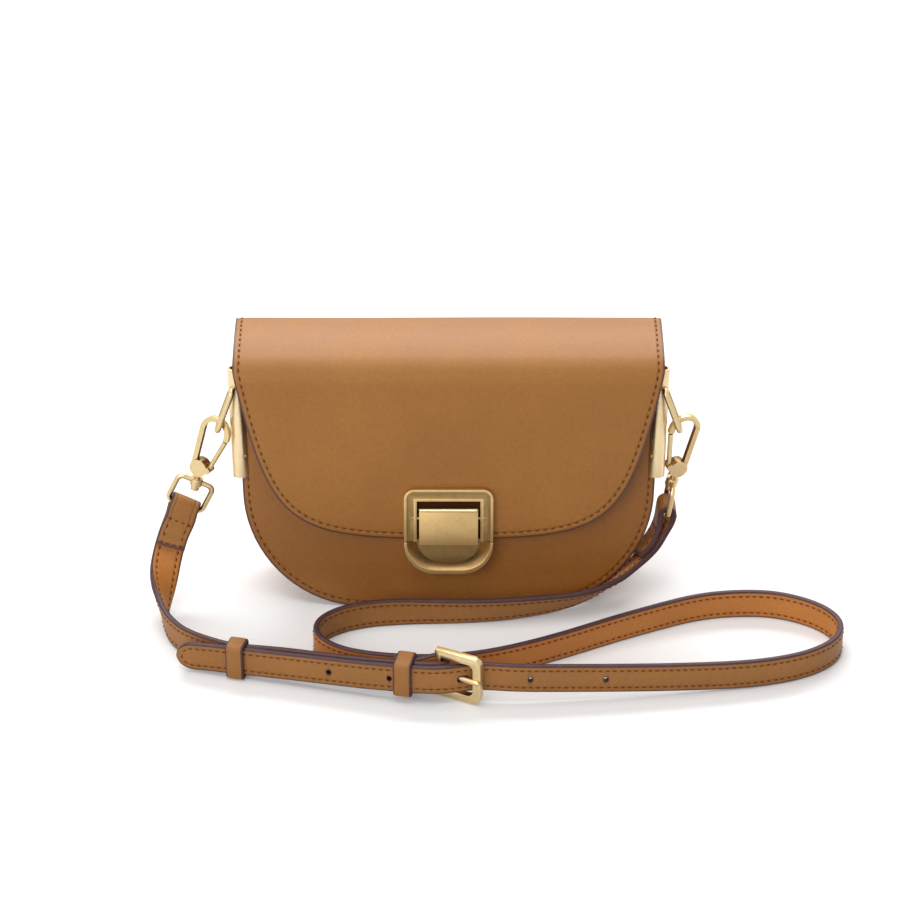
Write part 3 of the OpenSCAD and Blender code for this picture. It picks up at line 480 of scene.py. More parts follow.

# %% [markdown]
# ## Stitches
# A seam is one small shape repeated along a line, which is what Geometry Nodes are for. Painted on, the
# stitches would stay flat, while real ones stand up and cast a small shadow. The tree takes lines that carry
# the direction out of the leather, cuts them into equal steps and lays a short bent thread on each step, its
# ends sunk in the leather. The result is turned into a plain mesh, one for each group of seams.

# %% The stitch tree


def stitch_tree():
    """Lines in, stitches out. The sizes are named inputs, in metres."""
    tree = bpy.data.node_groups.new("stitches", "GeometryNodeTree")
    tree.is_modifier = True
    for name, kind in (("Lines", "Geometry"), ("Pitch", "Float"), ("Length", "Float"),
                       ("Thickness", "Float"), ("Thread", "Material")):
        tree.interface.new_socket(name, in_out="INPUT", socket_type="NodeSocket" + kind)
    tree.interface.new_socket("Stitches", in_out="OUTPUT", socket_type="NodeSocketGeometry")
    start, end = tree.nodes.new("NodeGroupInput"), tree.nodes.new("NodeGroupOutput")

    def add(kind, settings=(), **links):
        node = tree.nodes.new(kind)
        for key, value in dict(settings).items():
            setattr(node, key, value)
        for key, value in links.items():
            socket = node.inputs[key.replace("_", " ")]
            if isinstance(value, bpy.types.NodeSocket):
                tree.links.new(value, socket)
            else:
                socket.default_value = value
        return node

    def times(value, factor):
        node = add("ShaderNodeMath", {"operation": "MULTIPLY"})
        tree.links.new(value, node.inputs[0])
        node.inputs[1].default_value = factor
        return node.outputs[0]

    def point(x, z):
        node = add("ShaderNodeCombineXYZ")
        tree.links.new(x, node.inputs["X"])
        tree.links.new(z, node.inputs["Z"])
        return node.outputs[0]

    size, thickness = start.outputs["Length"], start.outputs["Thickness"]
    lines = add("GeometryNodeMeshToCurve", Mesh=start.outputs["Lines"])
    steps = add("GeometryNodeResampleCurve", {"mode": "LENGTH"}, Curve=lines.outputs[0],
                Length=start.outputs["Pitch"])
    arc = add("GeometryNodeCurveQuadraticBezier", Resolution=4,
              Start=point(times(size, -0.5), times(thickness, -0.9)),
              Middle=point(times(size, 0.0), times(thickness, 1.0)),
              End=point(times(size, 0.5), times(thickness, -0.9)))
    ring = add("GeometryNodeCurvePrimitiveCircle", Resolution=6, Radius=times(thickness, 0.75))
    one = add("GeometryNodeCurveToMesh", Curve=arc.outputs[0], Profile_Curve=ring.outputs[0],
              Fill_Caps=True)
    out = add("GeometryNodeInputNamedAttribute", {"data_type": "FLOAT_VECTOR"}, Name="out")
    turn = add("FunctionNodeAxesToRotation", {"primary_axis": "X", "secondary_axis": "Z"},
               Primary_Axis=add("GeometryNodeInputTangent").outputs[0], Secondary_Axis=out.outputs[0])
    laid = add("GeometryNodeInstanceOnPoints", Points=steps.outputs[0], Instance=one.outputs[0],
               Rotation=turn.outputs[0])
    real = add("GeometryNodeRealizeInstances", Geometry=laid.outputs[0])
    coloured = add("GeometryNodeSetMaterial", Geometry=real.outputs[0], Material=start.outputs["Thread"])
    tree.links.new(coloured.outputs[0], end.inputs[0])
    return tree


stitching = stitch_tree()
print("stitch tree has", len(stitching.nodes), "nodes")

# %% [markdown]
# A function sews any number of seams in one go: it makes a mesh of bare lines, gives it the tree as
# a modifier, sets the tree's inputs by their identifiers and keeps the result. A second function
# cuts a line into even steps first, so that the stitches keep their pitch round a corner.

# %% Sew along lines


def sew(name, seams, pitch=4.0, length=2.2, thickness=0.52):
    """Seams are pairs: a line's points in millimetres, and the way out of the leather at each."""
    points, out, edges = [], [], []
    for line, away in seams:
        edges += [(len(points) + i, len(points) + i + 1) for i in range(len(line) - 1)]
        points += [tuple(float(c) * MM for c in p) for p in line]
        out += [float(c) for n in unit(away) for c in n]
    mesh = bpy.data.meshes.new(name)
    mesh.from_pydata(points, edges, [])
    mesh.attributes.new("out", "FLOAT_VECTOR", "POINT").data.foreach_set("vector", out)
    made = bpy.data.objects.new(name, mesh)
    bpy.context.scene.collection.objects.link(made)
    tree = made.modifiers.new("stitches", "NODES")
    tree.node_group = stitching
    wanted = {"Pitch": pitch * MM, "Length": length * MM, "Thickness": thickness * MM, "Thread": thread}
    for item in stitching.interface.items_tree:
        if item.name in wanted:
            tree[item.identifier] = wanted[item.name]
    finished(made)
    made.data.polygons.foreach_set("use_smooth", [True] * len(made.data.polygons))
    print(f"{name}: {len(seams)} lines, {len(made.data.polygons)} faces")
    return made


def steps_along(line, others, step=1.0):
    """Points on a line and what belongs to them, resampled at even steps."""
    line, others = np.asarray(line, float), np.asarray(others, float)
    length = distances(line)
    t = np.linspace(0, length[-1], max(2, int(length[-1] / step)))
    return read_at(t, length, line), read_at(t, length, others)


short_seam = steps_along([(0, 0, 0), (10, 0, 0)], [(0, 0, 1)] * 2)[0]
print("10 mm of seam in steps of 1 mm:", len(short_seam), "points")

# %% [markdown]
# ## The strap's routes
# The strap is a flat band 15 mm wide, in two parts. The long one starts at the right snap hook,
# makes a loop before the bag and another to the right, and ends in a tongue in the buckle. The
# short one goes from the left hook to the buckle. The CAD holds them as straight stretches between
# points; here a smooth curve goes through the same points, as a leather band bends. A simulation
# could drop the strap on the floor, but it wouldn't lie where the photo shows it. The second list
# gives the direction of the band's width at each point.

# %% Points of the routes, in millimetres
lay = np.array([0, 2.288, 0])  # moves the whole strap to its place before the bag
long_route = [
    (112.24, -4.2, 45.3), (109.3, -5.2, 36.3), (103.8, -8.2, 27.7), (95.8, -13.2, 20.8), (86.5, -20.1, 15),
    (75.5, -27.4, 11.4), (63, -32.4, 9.2), (48, -36, 8.2), (28, -39.5, 7.8), (-2, -41.2, 7.6),
    (-29, -42, 7.6), (-44, -45, 7.6), (-56, -51, 7.6), (-63, -59, 7.6), (-64.5, -68, 7.6),
    (-60, -77, 7.6), (-51, -84, 7.6), (-38, -88.5, 7.6), (-20, -91, 7.6), (0, -90.5, 7.6),
    (18, -87, 7.6), (36, -80.5, 7.6), (58, -70, 7.6), (81, -57.5, 7.6), (104, -46, 7.6),
    (126, -37, 7.6), (145, -34, 7.6), (161, -35, 7.6), (176, -41, 7.6), (187, -50.5, 7.6),
    (191.5, -62, 7.6), (189, -73, 7.6), (180, -83, 7.6), (165, -91, 7.7), (145, -96.5, 8),
    (122, -100, 8.8), (86, -104, 10.6), (50, -106.8, 12.3), (28, -107.5, 13.2), (13, -106.9, 13.4),
    (-2, -109.7, 13.4), (-14, -109.1, 13.1), (-28, -106.2, 12.5), (-40, -103.6, 12), (-62, -98, 11.2),
    (-85, -92.2, 10.4), (-108, -86.4, 9.6), (-131.5, -80.5, 8.4)]
long_leans = np.radians([90, 90, 88, 82, 70, 52, 38, 26, 17, 9, 2] + [0] * (len(long_route) - 11))
long_widths = [(0, -math.sin(a), math.cos(a)) for a in long_leans]
short_route = [
    (-132.2, -1.8, 47.3), (-134.4, -4.6, 41), (-137.2, -8.8, 34.5), (-139.8, -13.7, 27.5),
    (-141.6, -20, 20.8), (-142.4, -28.5, 15), (-142.2, -38.5, 11), (-139.8, -49.5, 8.6),
    (-134.5, -60.5, 7.7), (-126, -70.5, 8.2), (-115.5, -78.5, 9.2), (-107.2, -83, 9.6),
    (-84.2, -88.8, 10.4), (-61.2, -94.8, 11.2), (-39.2, -100.2, 12), (-28, -102.6, 12.5),
    (-14, -105.5, 13.1), (-8, -106.2, 13.3)]
short_widths = [
    (0.9, 0, -0.44), (0.9, 0, -0.44), (0.9, -0.08, -0.42), (0.86, -0.18, -0.48), (0.76, -0.26, -0.6),
    (0.55, -0.27, -0.79), (0.33, -0.18, -0.93), (0.14, -0.05, -0.99)] + [(0, 0, -1)] * 10

print("points of the long route:", len(long_route), "and of the short one:", len(short_route))

# %% [markdown]
# Each end of the strap goes round a bar, an eye's or the buckle's, and is sewn back on itself. The
# folded ply runs beside the first points of the route, and a half turn round the bar joins the two.

# %% Folds round the bars


def folded_ply(route, widths, gap=3.25):
    """The end of the band, folded round its bar and sewn back beside itself."""
    ply = []
    for i in (3, 2, 1):
        run = unit(np.subtract(route[i + 1], route[i - 1]))
        across = unit(np.asarray(widths[i]) - np.dot(widths[i], run) * run)
        ply.append(np.asarray(route[i]) + (gap + 1.6 if i == 1 else gap) * np.cross(run, across))
    return ply


def half_turn(centre, radius, start, over):
    """Five points round a bar, from the start direction over to the other side."""
    turns = [math.radians(36 * i) for i in range(5)]
    return [np.asarray(centre) + radius * (math.cos(q) * np.array(start) + math.sin(q) * np.array(over))
            for q in turns]


def with_fold(widths):
    """The band's directions of width, with those of its folded ply and half turn before them."""
    return [widths[i] for i in (3, 2, 1)] + [widths[0]] * 5 + widths


right_bar, left_bar, back_bar = (109.051, -4.2, 45.23), (-132.192, -5.0, 47.253), (-4, -102.4, 13.4)
eye_fold, buckle_fold = 3.2, 3.85
eye_lean = math.radians(26)
eye_up = (math.sin(eye_lean), 0, math.cos(eye_lean))
long_line = (folded_ply(long_route, long_widths)
             + half_turn(right_bar, eye_fold, (-1, 0, 0), (0, 0, 1)) + long_route)
long_across = with_fold(long_widths)
short_line = (folded_ply(short_route, short_widths)
              + half_turn(left_bar, eye_fold, (0, -1, 0), eye_up) + short_route
              + half_turn(back_bar, buckle_fold, (0, -1, 0), (1, 0, 0))
              + [(-4, -98.55, 13.4), (-8.5, -99.6, 13.3), (-14, -102, 13.1), (-27, -99.4, 12.6)])
short_across = with_fold(short_widths) + [(0, 0, -1)] * 9
long_line = np.array(long_line, float) + lay
short_line = np.array(short_line, float) + lay
back_bar = np.array(back_bar) + lay
print("points on the long part:", len(long_line), "and on the short part:", len(short_line))

# %% [markdown]
# A natural cubic spline goes through every point without a kink, as a springy band does. Its second
# derivatives come from one small system of equations, solved for all three axes at once.

# %% A smooth curve through the points


def curve_through(points, widths, step=1.5):
    """Points about step apart on a natural cubic spline, with the direction of the width at each."""
    p = np.array(points, float)
    g = unit(widths)
    h = np.diff(distances(p))
    n = len(p)
    system = np.eye(n)
    right = np.zeros((n, 3))
    for i in range(1, n - 1):
        system[i, i - 1:i + 2] = h[i - 1], 2 * (h[i - 1] + h[i]), h[i]
        right[i] = 6 * ((p[i + 1] - p[i]) / h[i] - (p[i] - p[i - 1]) / h[i - 1])
    m = np.linalg.solve(system, right)
    line, across, marks = [], [], []
    for i in range(n - 1):
        parts = max(2, math.ceil(h[i] / step))
        for k in range(parts + (i == n - 2)):
            s = k / parts * h[i]
            a, b = h[i] - s, s
            line.append(m[i] * a ** 3 / (6 * h[i]) + m[i + 1] * b ** 3 / (6 * h[i])
                        + (p[i] / h[i] - m[i] * h[i] / 6) * a + (p[i + 1] / h[i] - m[i + 1] * h[i] / 6) * b)
            across.append(g[i] * a / h[i] + g[i + 1] * b / h[i])
            marks.append(i + k / parts)
    line = np.array(line)
    run = unit(np.gradient(line, axis=0))
    across = np.array(across)
    across = unit(across - np.sum(across * run, axis=1, keepdims=True) * run)
    return line, run, across, np.cross(run, across), np.array(marks)


long_curve = curve_through(long_line, long_across)
short_curve = curve_through(short_line, short_across)
for name, curve in (("long", long_curve), ("short", short_curve)):
    print(name, "part:", round(distances(curve[0])[-1]), "mm with its folds")

# %% [markdown]
# ## The strap's band
# A strap is cut from two leathers glued back to back, brown outside and a warmer tan inside, and its edges
# are painted dark plum. A curve object with a profile would make a band too, but it decides for itself how
# the band twists. So a section with rounded, painted edges and a very slight crown is led along the route,
# with the width's direction known at every point, and each side can have its own finish.

# %% The band's section
half_width, half_thick = 7.5, 1.4


def band_section(width=half_width, depth=half_thick, r=0.8, crown=0.08):
    """Places round the band: across it and through it. The face at +depth comes first."""
    top = [(a * (width - r), depth + crown * (1 - a * a)) for a in (1, 0.6, 0, -0.6, -1)]
    left = [(-(width - r + r * math.sin(q)), (depth - r) + r * math.cos(q)) for q in (0.5, 1.05)]
    edge = [(-width, 0.25), (-width, -0.25)]
    left_low = [(x, -y) for x, y in reversed(left)]
    half = top + left + edge + left_low
    return half + [(-x, -y) for x, y in half]


section = band_section()
sides, strips_on_face = len(section), 4


def band_side(j):
    """Which finish the strip of faces after section point j has."""
    if j < strips_on_face:
        return INNER
    return OUTER if sides // 2 <= j < sides // 2 + strips_on_face else RIM


print("the band's section has", sides, "points")

# %% [markdown]
# The tongue of the long part is rounded. The band narrows over its last 9 mm, and its rows of
# points lie closer together there. The same narrowing leads the stitches round the tongue.

# %% The tongue and the sweep


def toward_end(curve, tongue, short=0.0):
    """A curve's points, closer together in the tongue, and how much the band narrows at each."""
    line, run, across, side, marks = curve
    length = distances(line)
    end = length[-1] - short
    t = length[length < end]
    if tongue:
        near = end - tongue * (1 - np.sin(np.linspace(0, math.pi / 2, 15)))
        t = np.concatenate([length[length < near[0] - 0.3], near])
    inside = np.clip((t - end + tongue) / max(tongue, 1e-6), 0, 1)
    narrow = np.sqrt(1 - inside ** 2.2 * 0.995) if tongue else np.ones(len(t))
    return [read_at(t, length, v) for v in (line, across, side)], narrow, t, np.interp(t, length, marks)


def band(name, curve, tongue=0.0):
    """The section swept along a curve, painted along its edges and at its first end."""
    (line, across, side), narrow, t, _ = toward_end(curve, tongue)
    points, edge = [], []
    for i, centre in enumerate(line):
        for x, y in section:
            points.append(centre + across[i] * x * narrow[i] + side[i] * y)
            edge.append(min((half_width - abs(x)) * narrow[i], 0.6 * t[i]))
    n = len(line)
    faces = grid_faces(n, sides, around=True)
    places = [band_side(k % sides) for k in range(len(faces))]
    faces += [tuple(range(sides)), tuple(range(n * sides - 1, (n - 1) * sides - 1, -1))]
    places += [RIM, RIM]
    made = piece_of(name, points, faces, (strap_face, strap_back, paint), edge, places)
    return sharp(turned_out(made), 50)


tongue_length = 9.0
strap_long = band("strap_long_band", long_curve, tongue_length)
strap_short = band("strap_short_band", short_curve)
print("bands:", len(strap_long.data.polygons), len(strap_short.data.polygons), "faces")

# %% [markdown]
# ## Holes
# The strap is punched with adjustment holes, one of them taken by the prong, and its fold round the
# buckle's back bar has a slot for the prong. The holes don't fall on the band's rows of points, so
# a Boolean cuts them, as the maker's punch does. The cutters carry the edge paint, because a
# punched hole shows the dark core.

# %% Cutters


def tapered(name, stations, finish, corners=20):
    """A closed bar through (centre, first half width, second half width); the widths are vectors."""
    points = [centre + math.cos(q) * first + math.sin(q) * second for centre, first, second in stations
              for q in np.linspace(0, 2 * math.pi, corners, False)]
    faces = grid_faces(len(stations), corners, around=True)
    faces += [tuple(range(corners))[::-1], tuple(range(len(points) - corners, len(points)))]
    return turned_out(piece_of(name, points, faces, (finish,)))


def rod(a, b, radius):
    """A level cylinder from a to b."""
    run = unit(b - a)
    u = unit(np.cross(run, (0, 0, 1)))
    v = np.cross(run, u)
    return tapered("rod", [(end, radius * u, radius * v) for end in (a, b)], paint)


def axes_at(turn):
    """The directions x and y, turned about the vertical by so many degrees."""
    a = math.radians(turn)
    return np.array((math.cos(a), math.sin(a), 0)), np.array((-math.sin(a), math.cos(a), 0))


def beside_bar(x, y, turn):
    """A place beside the buckle's back bar, turned about it by so many degrees."""
    along_x, along_y = axes_at(turn)
    return back_bar + (x * along_x + y * along_y)


hole_radius, prong_hole_radius, hole_reach = 1.3, 1.62, 3
hole_places = [((-57, -99.3, 11.4), -14.5), ((-28, -106.1, 12.5), -11), ((39, -107.4, 12.7), 2),
               ((75, -105, 11.1), 5.5)]
prong_turns = (0, -1.5, -3)
cutters = []
for place, turn in hole_places:
    centre, through = np.array(place) + lay, hole_reach * axes_at(turn)[1]
    cutters.append(rod(centre - through, centre + through, hole_radius))
for turn in prong_turns:
    cutters.append(rod(beside_bar(2.0, -1.5, turn), beside_bar(19.1, -12.0, turn), prong_hole_radius))
slot_corners = [back_bar + (x, y, z) for x in (-6, 6) for y in (-7.5, 7.5) for z in (-2, 2)]
slot_faces = [(0, 1, 3, 2), (4, 6, 7, 5), (0, 4, 5, 1), (2, 3, 7, 6), (0, 2, 6, 4), (1, 5, 7, 3)]
slot = turned_out(piece_of("slot", slot_corners, slot_faces, (paint,)))
print("cutters:", len(cutters), "for the long part and one for the short part")

# %% [markdown]
# The prong's hole is cut three times, at the angles that the prong takes as it lifts, because
# leather gives a little there and this mesh can't.

# %% Punch the strap


def punch(made, cutters):
    """Cuts the cutters out of a piece, and their finish goes on the cut faces."""
    for cutter in cutters:
        cut = made.modifiers.new("punch", "BOOLEAN")
        cut.object = cutter
        cut.operation = "DIFFERENCE"
        cut.solver = "EXACT"
        cut.material_mode = "TRANSFER"
    finished(made)
    for cutter in cutters:
        bpy.data.objects.remove(cutter)
    sharp(made, 50)


punch(strap_long, cutters)
punch(strap_short, [slot])
print("after punching:", len(strap_long.data.polygons), len(strap_short.data.polygons), "faces")

# %% [markdown]
# ## The strap's two parts
# Each part's path is worked out without the folds that are sewn back on themselves at the ends, though
# nothing below uses it. Places on a curve are named by marks: mark 8 is the first point of its route, after
# the fold's eight points. Each band is handed to the frame in place of its CAD part.

route_start, round_back_bar = 8, 28
long_path = long_curve[0][long_curve[4] >= route_start] * MM
short_marks = short_curve[4]
short_path = short_curve[0][(short_marks >= route_start) & (short_marks <= round_back_bar)] * MM
strap_parts = ((strap_long, "strap_long", long_path, "bare", []),
               (strap_short, "strap_short", short_path, "fitting", [nodes["buckle_frame"]]))
for made, node, path, end, held in strap_parts:
    dress(made, "bag", "strap_leather", node)

# %% [markdown]
# The strap is sewn along both edges, nearly 3 mm inside them, right through, so the rows show on
# its outer and its inner face, and round the tongue. Each fold at an eye has a small sewn box. The
# rows follow the same curve as the band, a little above its skin, so they bend wherever it bends.

# %% Sew the strap
sewn_from, short_sewn_to = 8.2, 24.6
box_half, box_marks = 4.7, (0.14, 1.75)
on_skin = half_thick + 0.06


def strap_seam(curve, low, high, across_at, face, tongue=0.0):
    """One row on the strap, between two marks of its route; face is 1 for the inner side."""
    (line, across, side), narrow, _, marks = toward_end(curve, tongue, strap_seam_in if tongue else 0)
    use = (marks >= low) & (marks <= high)
    points = line[use] + across[use] * (across_at * narrow[use])[:, None] + side[use] * face * on_skin
    return steps_along(points, side[use] * face)


rows = []
for face in (1, -1):
    for at in (half_width - strap_seam_in, strap_seam_in - half_width):
        rows.append(strap_seam(long_curve, sewn_from, math.inf, at, face, tongue_length - strap_seam_in))
        rows.append(strap_seam(short_curve, sewn_from, short_sewn_to, at, face))
for curve in (long_curve, short_curve):
    line, _, across, side, marks = curve
    for at in (box_half, -box_half):
        rows.append(strap_seam(curve, *box_marks, at, -1))
    for mark in box_marks:
        i = int(np.argmin(np.abs(marks - mark)))
        over = np.linspace(-box_half - 0.5, box_half + 0.5, 12)
        cross = line[i] + np.outer(over, across[i]) - side[i] * on_skin
        rows.append(steps_along(cross, np.repeat(-side[i:i + 1], len(over), axis=0)))
strap_seams = sew("strap_stitches", rows, pitch=3.4, length=2.1, thickness=0.48)
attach(strap_seams, "bag")

# %% [markdown]
# ## The bag's outline
# Seen from the front the bag is a saddle: a flat base, quarter-ellipse corners and almost straight
# sides. A point of the outline is named by its angle round the corner, or by its height above it,
# and an inset draws it in. Panels, gusset, linings and seams all ask this one function, so they fit
# each other as pieces cut from one pattern do. The front face leans back by 8.5 degrees and bows,
# so that its side edges lie 6.5 mm behind its middle.

# %% Outline and faces of the body
body_half, flare, corner_w, corner_h, panel_h = 102.0, 1.6, 58.0, 61.0, 116.0
front_y, back_y, ridge_z = -24.962, 29.538, 133.387
panel_thick, gusset_thick = 2.0, 1.6
lean = math.radians(8.5)
bow = 803.6


def side_at(s):
    """Half the width at a height above the corners."""
    return body_half + flare * np.maximum(0, np.asarray(s) - corner_h) / (panel_h - corner_h)


def sag(x):
    """How far the bowed front lies behind its middle."""
    return bow - np.sqrt(bow * bow - np.asarray(x) ** 2)


def half_outline(top, inset=0.0, base=None, around_corner=18, up_side=14):
    """From the base's corner up the right side, as rows of (x, height)."""
    base = inset if base is None else base
    a = np.linspace(0, math.pi / 2, around_corner + 1)
    low = np.stack([body_half - corner_w + (corner_w - inset) * np.sin(a),
                    corner_h - (corner_h - base) * np.cos(a)], axis=1)
    s = np.linspace(corner_h, top, up_side + 1)[1:]
    return np.concatenate([low, np.stack([side_at(s) - inset, s], axis=1)])


def on_front(x, s, n=0.0):
    """A point of the leaning, bowed face: s up the slope, n outwards."""
    x, s, n = np.broadcast_arrays(np.asarray(x, float), s, n)
    n = n - sag(x)
    return np.stack([x, front_y + s * math.sin(lean) - n * math.cos(lean),
                     s * math.cos(lean) + n * math.sin(lean)], axis=-1)


def on_back(x, z, n=0.0):
    """A point of the upright back: z up, n outwards."""
    return np.stack(np.broadcast_arrays(np.asarray(x, float), back_y + n, z), axis=-1)


def distance_to(line, points):
    """The distance of flat points to a flat polyline."""
    a, b = np.asarray(line[:-1]), np.asarray(line[1:])
    d = b - a
    best = np.full(len(points), 1e9)
    for i in range(len(a)):
        t = np.clip(((points - a[i]) @ d[i]) / max(d[i] @ d[i], 1e-9), 0, 1)
        best = np.minimum(best, np.linalg.norm(points - a[i] - t[:, None] * d[i], axis=1))
    return best


front_base = (panel_thick + gusset_thick + float(sag(body_half - corner_w))) * math.tan(lean)
print("the front panel's hem is lifted by", round(front_base, 2), "mm, because the panel leans")

# %% [markdown]
# ## Front and back panels
# Each panel is a flat cut of 2 mm leather, sewn to the gusset 3 mm inside its edge. The stitches
# pull the edge back a little, so the panel is softly crowned towards its rim. The rows of points
# follow the outline, which leaves clean quads for the wall thickness and the rounded cut edge.

# %% Rows of a panel
seam_in = 3.0


def panel_rows(rim, columns=56):
    """Flat points on rows across a panel, from its base to its top."""
    u = np.linspace(-1, 1, columns + 1)
    u = np.sin(u * math.pi / 2) * 0.35 + u * 0.65
    return np.stack([np.outer(rim[:, 0], u), np.repeat(rim[:, 1:], columns + 1, axis=1)], axis=-1)


def closed_line(rim):
    """The whole outline, down the left side, along the base and up the right side."""
    return np.concatenate([rim[::-1] * (-1, 1), rim])


def pulled(edge, depth=0.5):
    """How far the stitches pull the leather back, at a distance from its edge."""
    return -depth * np.exp(-(np.asarray(edge) / 3.2) ** 1.5)


def panel(name, points, faces, face_finish, edge, node):
    made = piece_of(name, points, faces, (face_finish, flap_inner, rim_paint), edge)
    dress(thick(made, panel_thick, 0.5), "bag", "tan_leather", node)


print("at the seam the leather is pulled back by", round(float(-pulled(seam_in)), 2), "mm")

# %% [markdown]
# The front panel is sewn all round, but the flap hides its upper part, so its row of stitches only
# goes as high as it can be seen. The row lies in the leather's pulled-back edge.

# %% Front panel
rim = half_outline(panel_h, 0, front_base)
flat = panel_rows(rim)
edge = distance_to(closed_line(rim), flat.reshape(-1, 2))
points = on_front(flat[..., 0].ravel(), flat[..., 1].ravel(), pulled(edge))
panel("front_panel_leather", points, grid_faces(*flat.shape[:2]), shaded_front_tan, edge, "front_panel")
under_flap = 67.5
row = closed_line(half_outline(under_flap, seam_in, front_base + seam_in))
lifted = float(pulled(seam_in)) + 0.04
line = on_front(row[:, 0], row[:, 1], lifted)
front_row = steps_along(line, on_front(row[:, 0], row[:, 1], lifted + 1) - line)

# %% [markdown]
# The back panel stands upright and goes on above the bag's mouth, up to the ridge where the flap
# bends. Up there it lies flat against the flap's leather, so its rim isn't pulled back.

# %% Back panel
mouth_z, under_tail, top_half = 108, 113, 105.2
rim = np.concatenate([half_outline(panel_h), [(top_half, 127.0), (top_half, ridge_z - 0.3)]])
flat = panel_rows(rim)
edge = distance_to(closed_line(rim), flat.reshape(-1, 2))
x, z = flat[..., 0].ravel(), flat[..., 1].ravel()
faces = [f[::-1] for f in grid_faces(*flat.shape[:2])]
panel("back_panel_leather", on_back(x, z, pulled(edge) * (z < mouth_z)), faces, tan, edge, "back_panel")
row = closed_line(half_outline(under_tail, seam_in, seam_in))
line = on_back(row[:, 0], row[:, 1], lifted)
back_row = steps_along(line, np.tile([0.0, 1.0, 0.0], (len(line), 1)))
body_seams = sew("body_stitches", [front_row, back_row])
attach(body_seams, "bag")

# %% [markdown]
# ## Gusset
# One long strip of thinner leather joins the panels round the sides and base. Its edges are turned
# out and lie behind the panels as flanges. The strip is lofted across the bag: flange, bend, wall,
# bend, flange, with the wall swelling a little between the seams as a filled bag's does.

# %% Gusset
flange = [(0.0, 0.15), (0.0, 1.6), (0.0, 2.9), (0.3, 3.7), (1.1, 4.0), (3.0, 4.0)]


def along_panels(inset):
    """The outline on the inner side of the front panel and on that of the back panel."""
    front = closed_line(half_outline(panel_h, inset, max(inset, front_base)))
    back = closed_line(half_outline(panel_h * math.cos(lean), inset))
    return on_front(front[:, 0], front[:, 1], -panel_thick), on_back(back[:, 0], back[:, 1], -panel_thick)


front_rows, back_rows = [], []
for depth, inset in flange:
    a, b = along_panels(inset)
    front_rows.append(a + unit(b - a) * depth)
    back_rows.append(b - unit(b - a) * depth)
away = unit(np.stack([b[:, 0] / body_half, np.zeros(len(b)), (b[:, 2] - 60) / 60], axis=1))
slack = np.clip((58 - b[:, 2:]) / 30, 0.25, 1)
wall_rows = []
for t in np.linspace(0.16, 0.84, 13):
    swell = 0.8 * math.sin(math.pi * min(1, max(0, (t - 0.3) / 0.6)))
    wall_rows.append(a + (b - a) * t + away * swell * slack)
grid = np.array(front_rows + wall_rows + back_rows[::-1])
points = grid.reshape(-1, 3)
gusset = piece_of("gusset_leather", points, grid_faces(*grid.shape[:2]), (tan, flap_inner, rim_paint),
                  [6.0] * len(points))
dress(thick(gusset, 1.55, 0.3), "bag", "tan_leather", "gusset")

# %% [markdown]
# ## Flap
# The flap is one flat cut of leather, lined with a second one, that goes up the front, bends over
# the top and is sewn to the back. So it is drawn flat first: x across and q along the leather. One
# function then bends that flat cut over the bag's section: a straight face, a tight bend, a slow
# bend over the top and a fold down the back.

# %% The bend
hem, bend_start, flap_out, tail_low = 39.3, 120.0, 3.5, 119.0
bend_r, top_r, fold_r = 14.3, 99.0, 2.6


def section_parts():
    """The section as arcs: start of q, its length, centre, radius and start angle."""
    start = np.array((front_y + bend_start * math.sin(lean) - flap_out * math.cos(lean),
                      bend_start * math.cos(lean) + flap_out * math.sin(lean)))
    first, second, last = lean, math.radians(72), math.radians(88)
    c1 = start + bend_r * np.array((math.cos(first), -math.sin(first)))
    p2 = c1 + bend_r * np.array((-math.cos(second), math.sin(second)))
    c2 = p2 + top_r * np.array((math.cos(second), -math.sin(second)))
    p3 = c2 + top_r * np.array((-math.cos(last), math.sin(last)))
    straight = (back_y + 0.3 - p3[0]) / math.sin(last)
    p4 = p3 + straight * np.array((math.sin(last), math.cos(last)))
    c3 = p4 + fold_r * np.array((math.cos(last), -math.sin(last)))
    parts = [(bend_r * (second - first), c1, bend_r, first), (top_r * (last - second), c2, top_r, second),
             (straight, p3, 0, last), (fold_r * (math.pi - last), c3, fold_r, last)]
    return parts, c3 + np.array((fold_r, 0))


bend_parts, tail_top = section_parts()
bend_end = bend_start + sum(p[0] for p in bend_parts)
flap_end = bend_end + tail_top[1] - tail_low
print("the cut is", round(flap_end - hem, 1), "mm long; it folds down the back at q", round(bend_end, 1))


def over_bag(x, q, n=0.0):
    """Bends flat points over the bag; n lifts them off the outer face."""
    x, q, n = (np.ravel(v).astype(float) for v in np.broadcast_arrays(x, q, n))
    y = front_y + q * math.sin(lean) - flap_out * math.cos(lean)
    z = q * math.cos(lean) + flap_out * math.sin(lean)
    ny, nz = np.full(len(q), -math.cos(lean)), np.full(len(q), math.sin(lean))
    at = bend_start
    for length, centre, radius, angle in bend_parts:
        here = q > at
        step = q - at
        if radius:
            a = angle + step / radius
            new = (centre[0] - radius * np.cos(a), centre[1] + radius * np.sin(a), -np.cos(a), np.sin(a))
        else:
            new = (centre[0] + step * math.sin(angle), centre[1] + step * math.cos(angle),
                   np.full(len(q), -math.cos(angle)), np.full(len(q), math.sin(angle)))
        y, z, ny, nz = (np.where(here, b, a) for a, b in zip((y, z, ny, nz), new))
        at += length
    here = q > at
    y, z = np.where(here, tail_top[0], y), np.where(here, tail_top[1] - (q - at), z)
    ny, nz = np.where(here, 1.0, ny), np.where(here, 0.0, nz)
    return np.stack([x, y + n * ny, z + n * nz], axis=-1)


print("ridge at", np.round(over_bag(0, bend_end - 4)[0], 2))

# %% [markdown]
# The cut's outline is a smooth curve from the top of the straight face down to the hem, then nearly
# straight sides over the top, and rounded corners on the back. One cubic curve with two handles has
# the saddle's long sweep, which arcs and straight lines only come near.

# %% The outline of the cut
face_half, corner_r = 103.8, 7


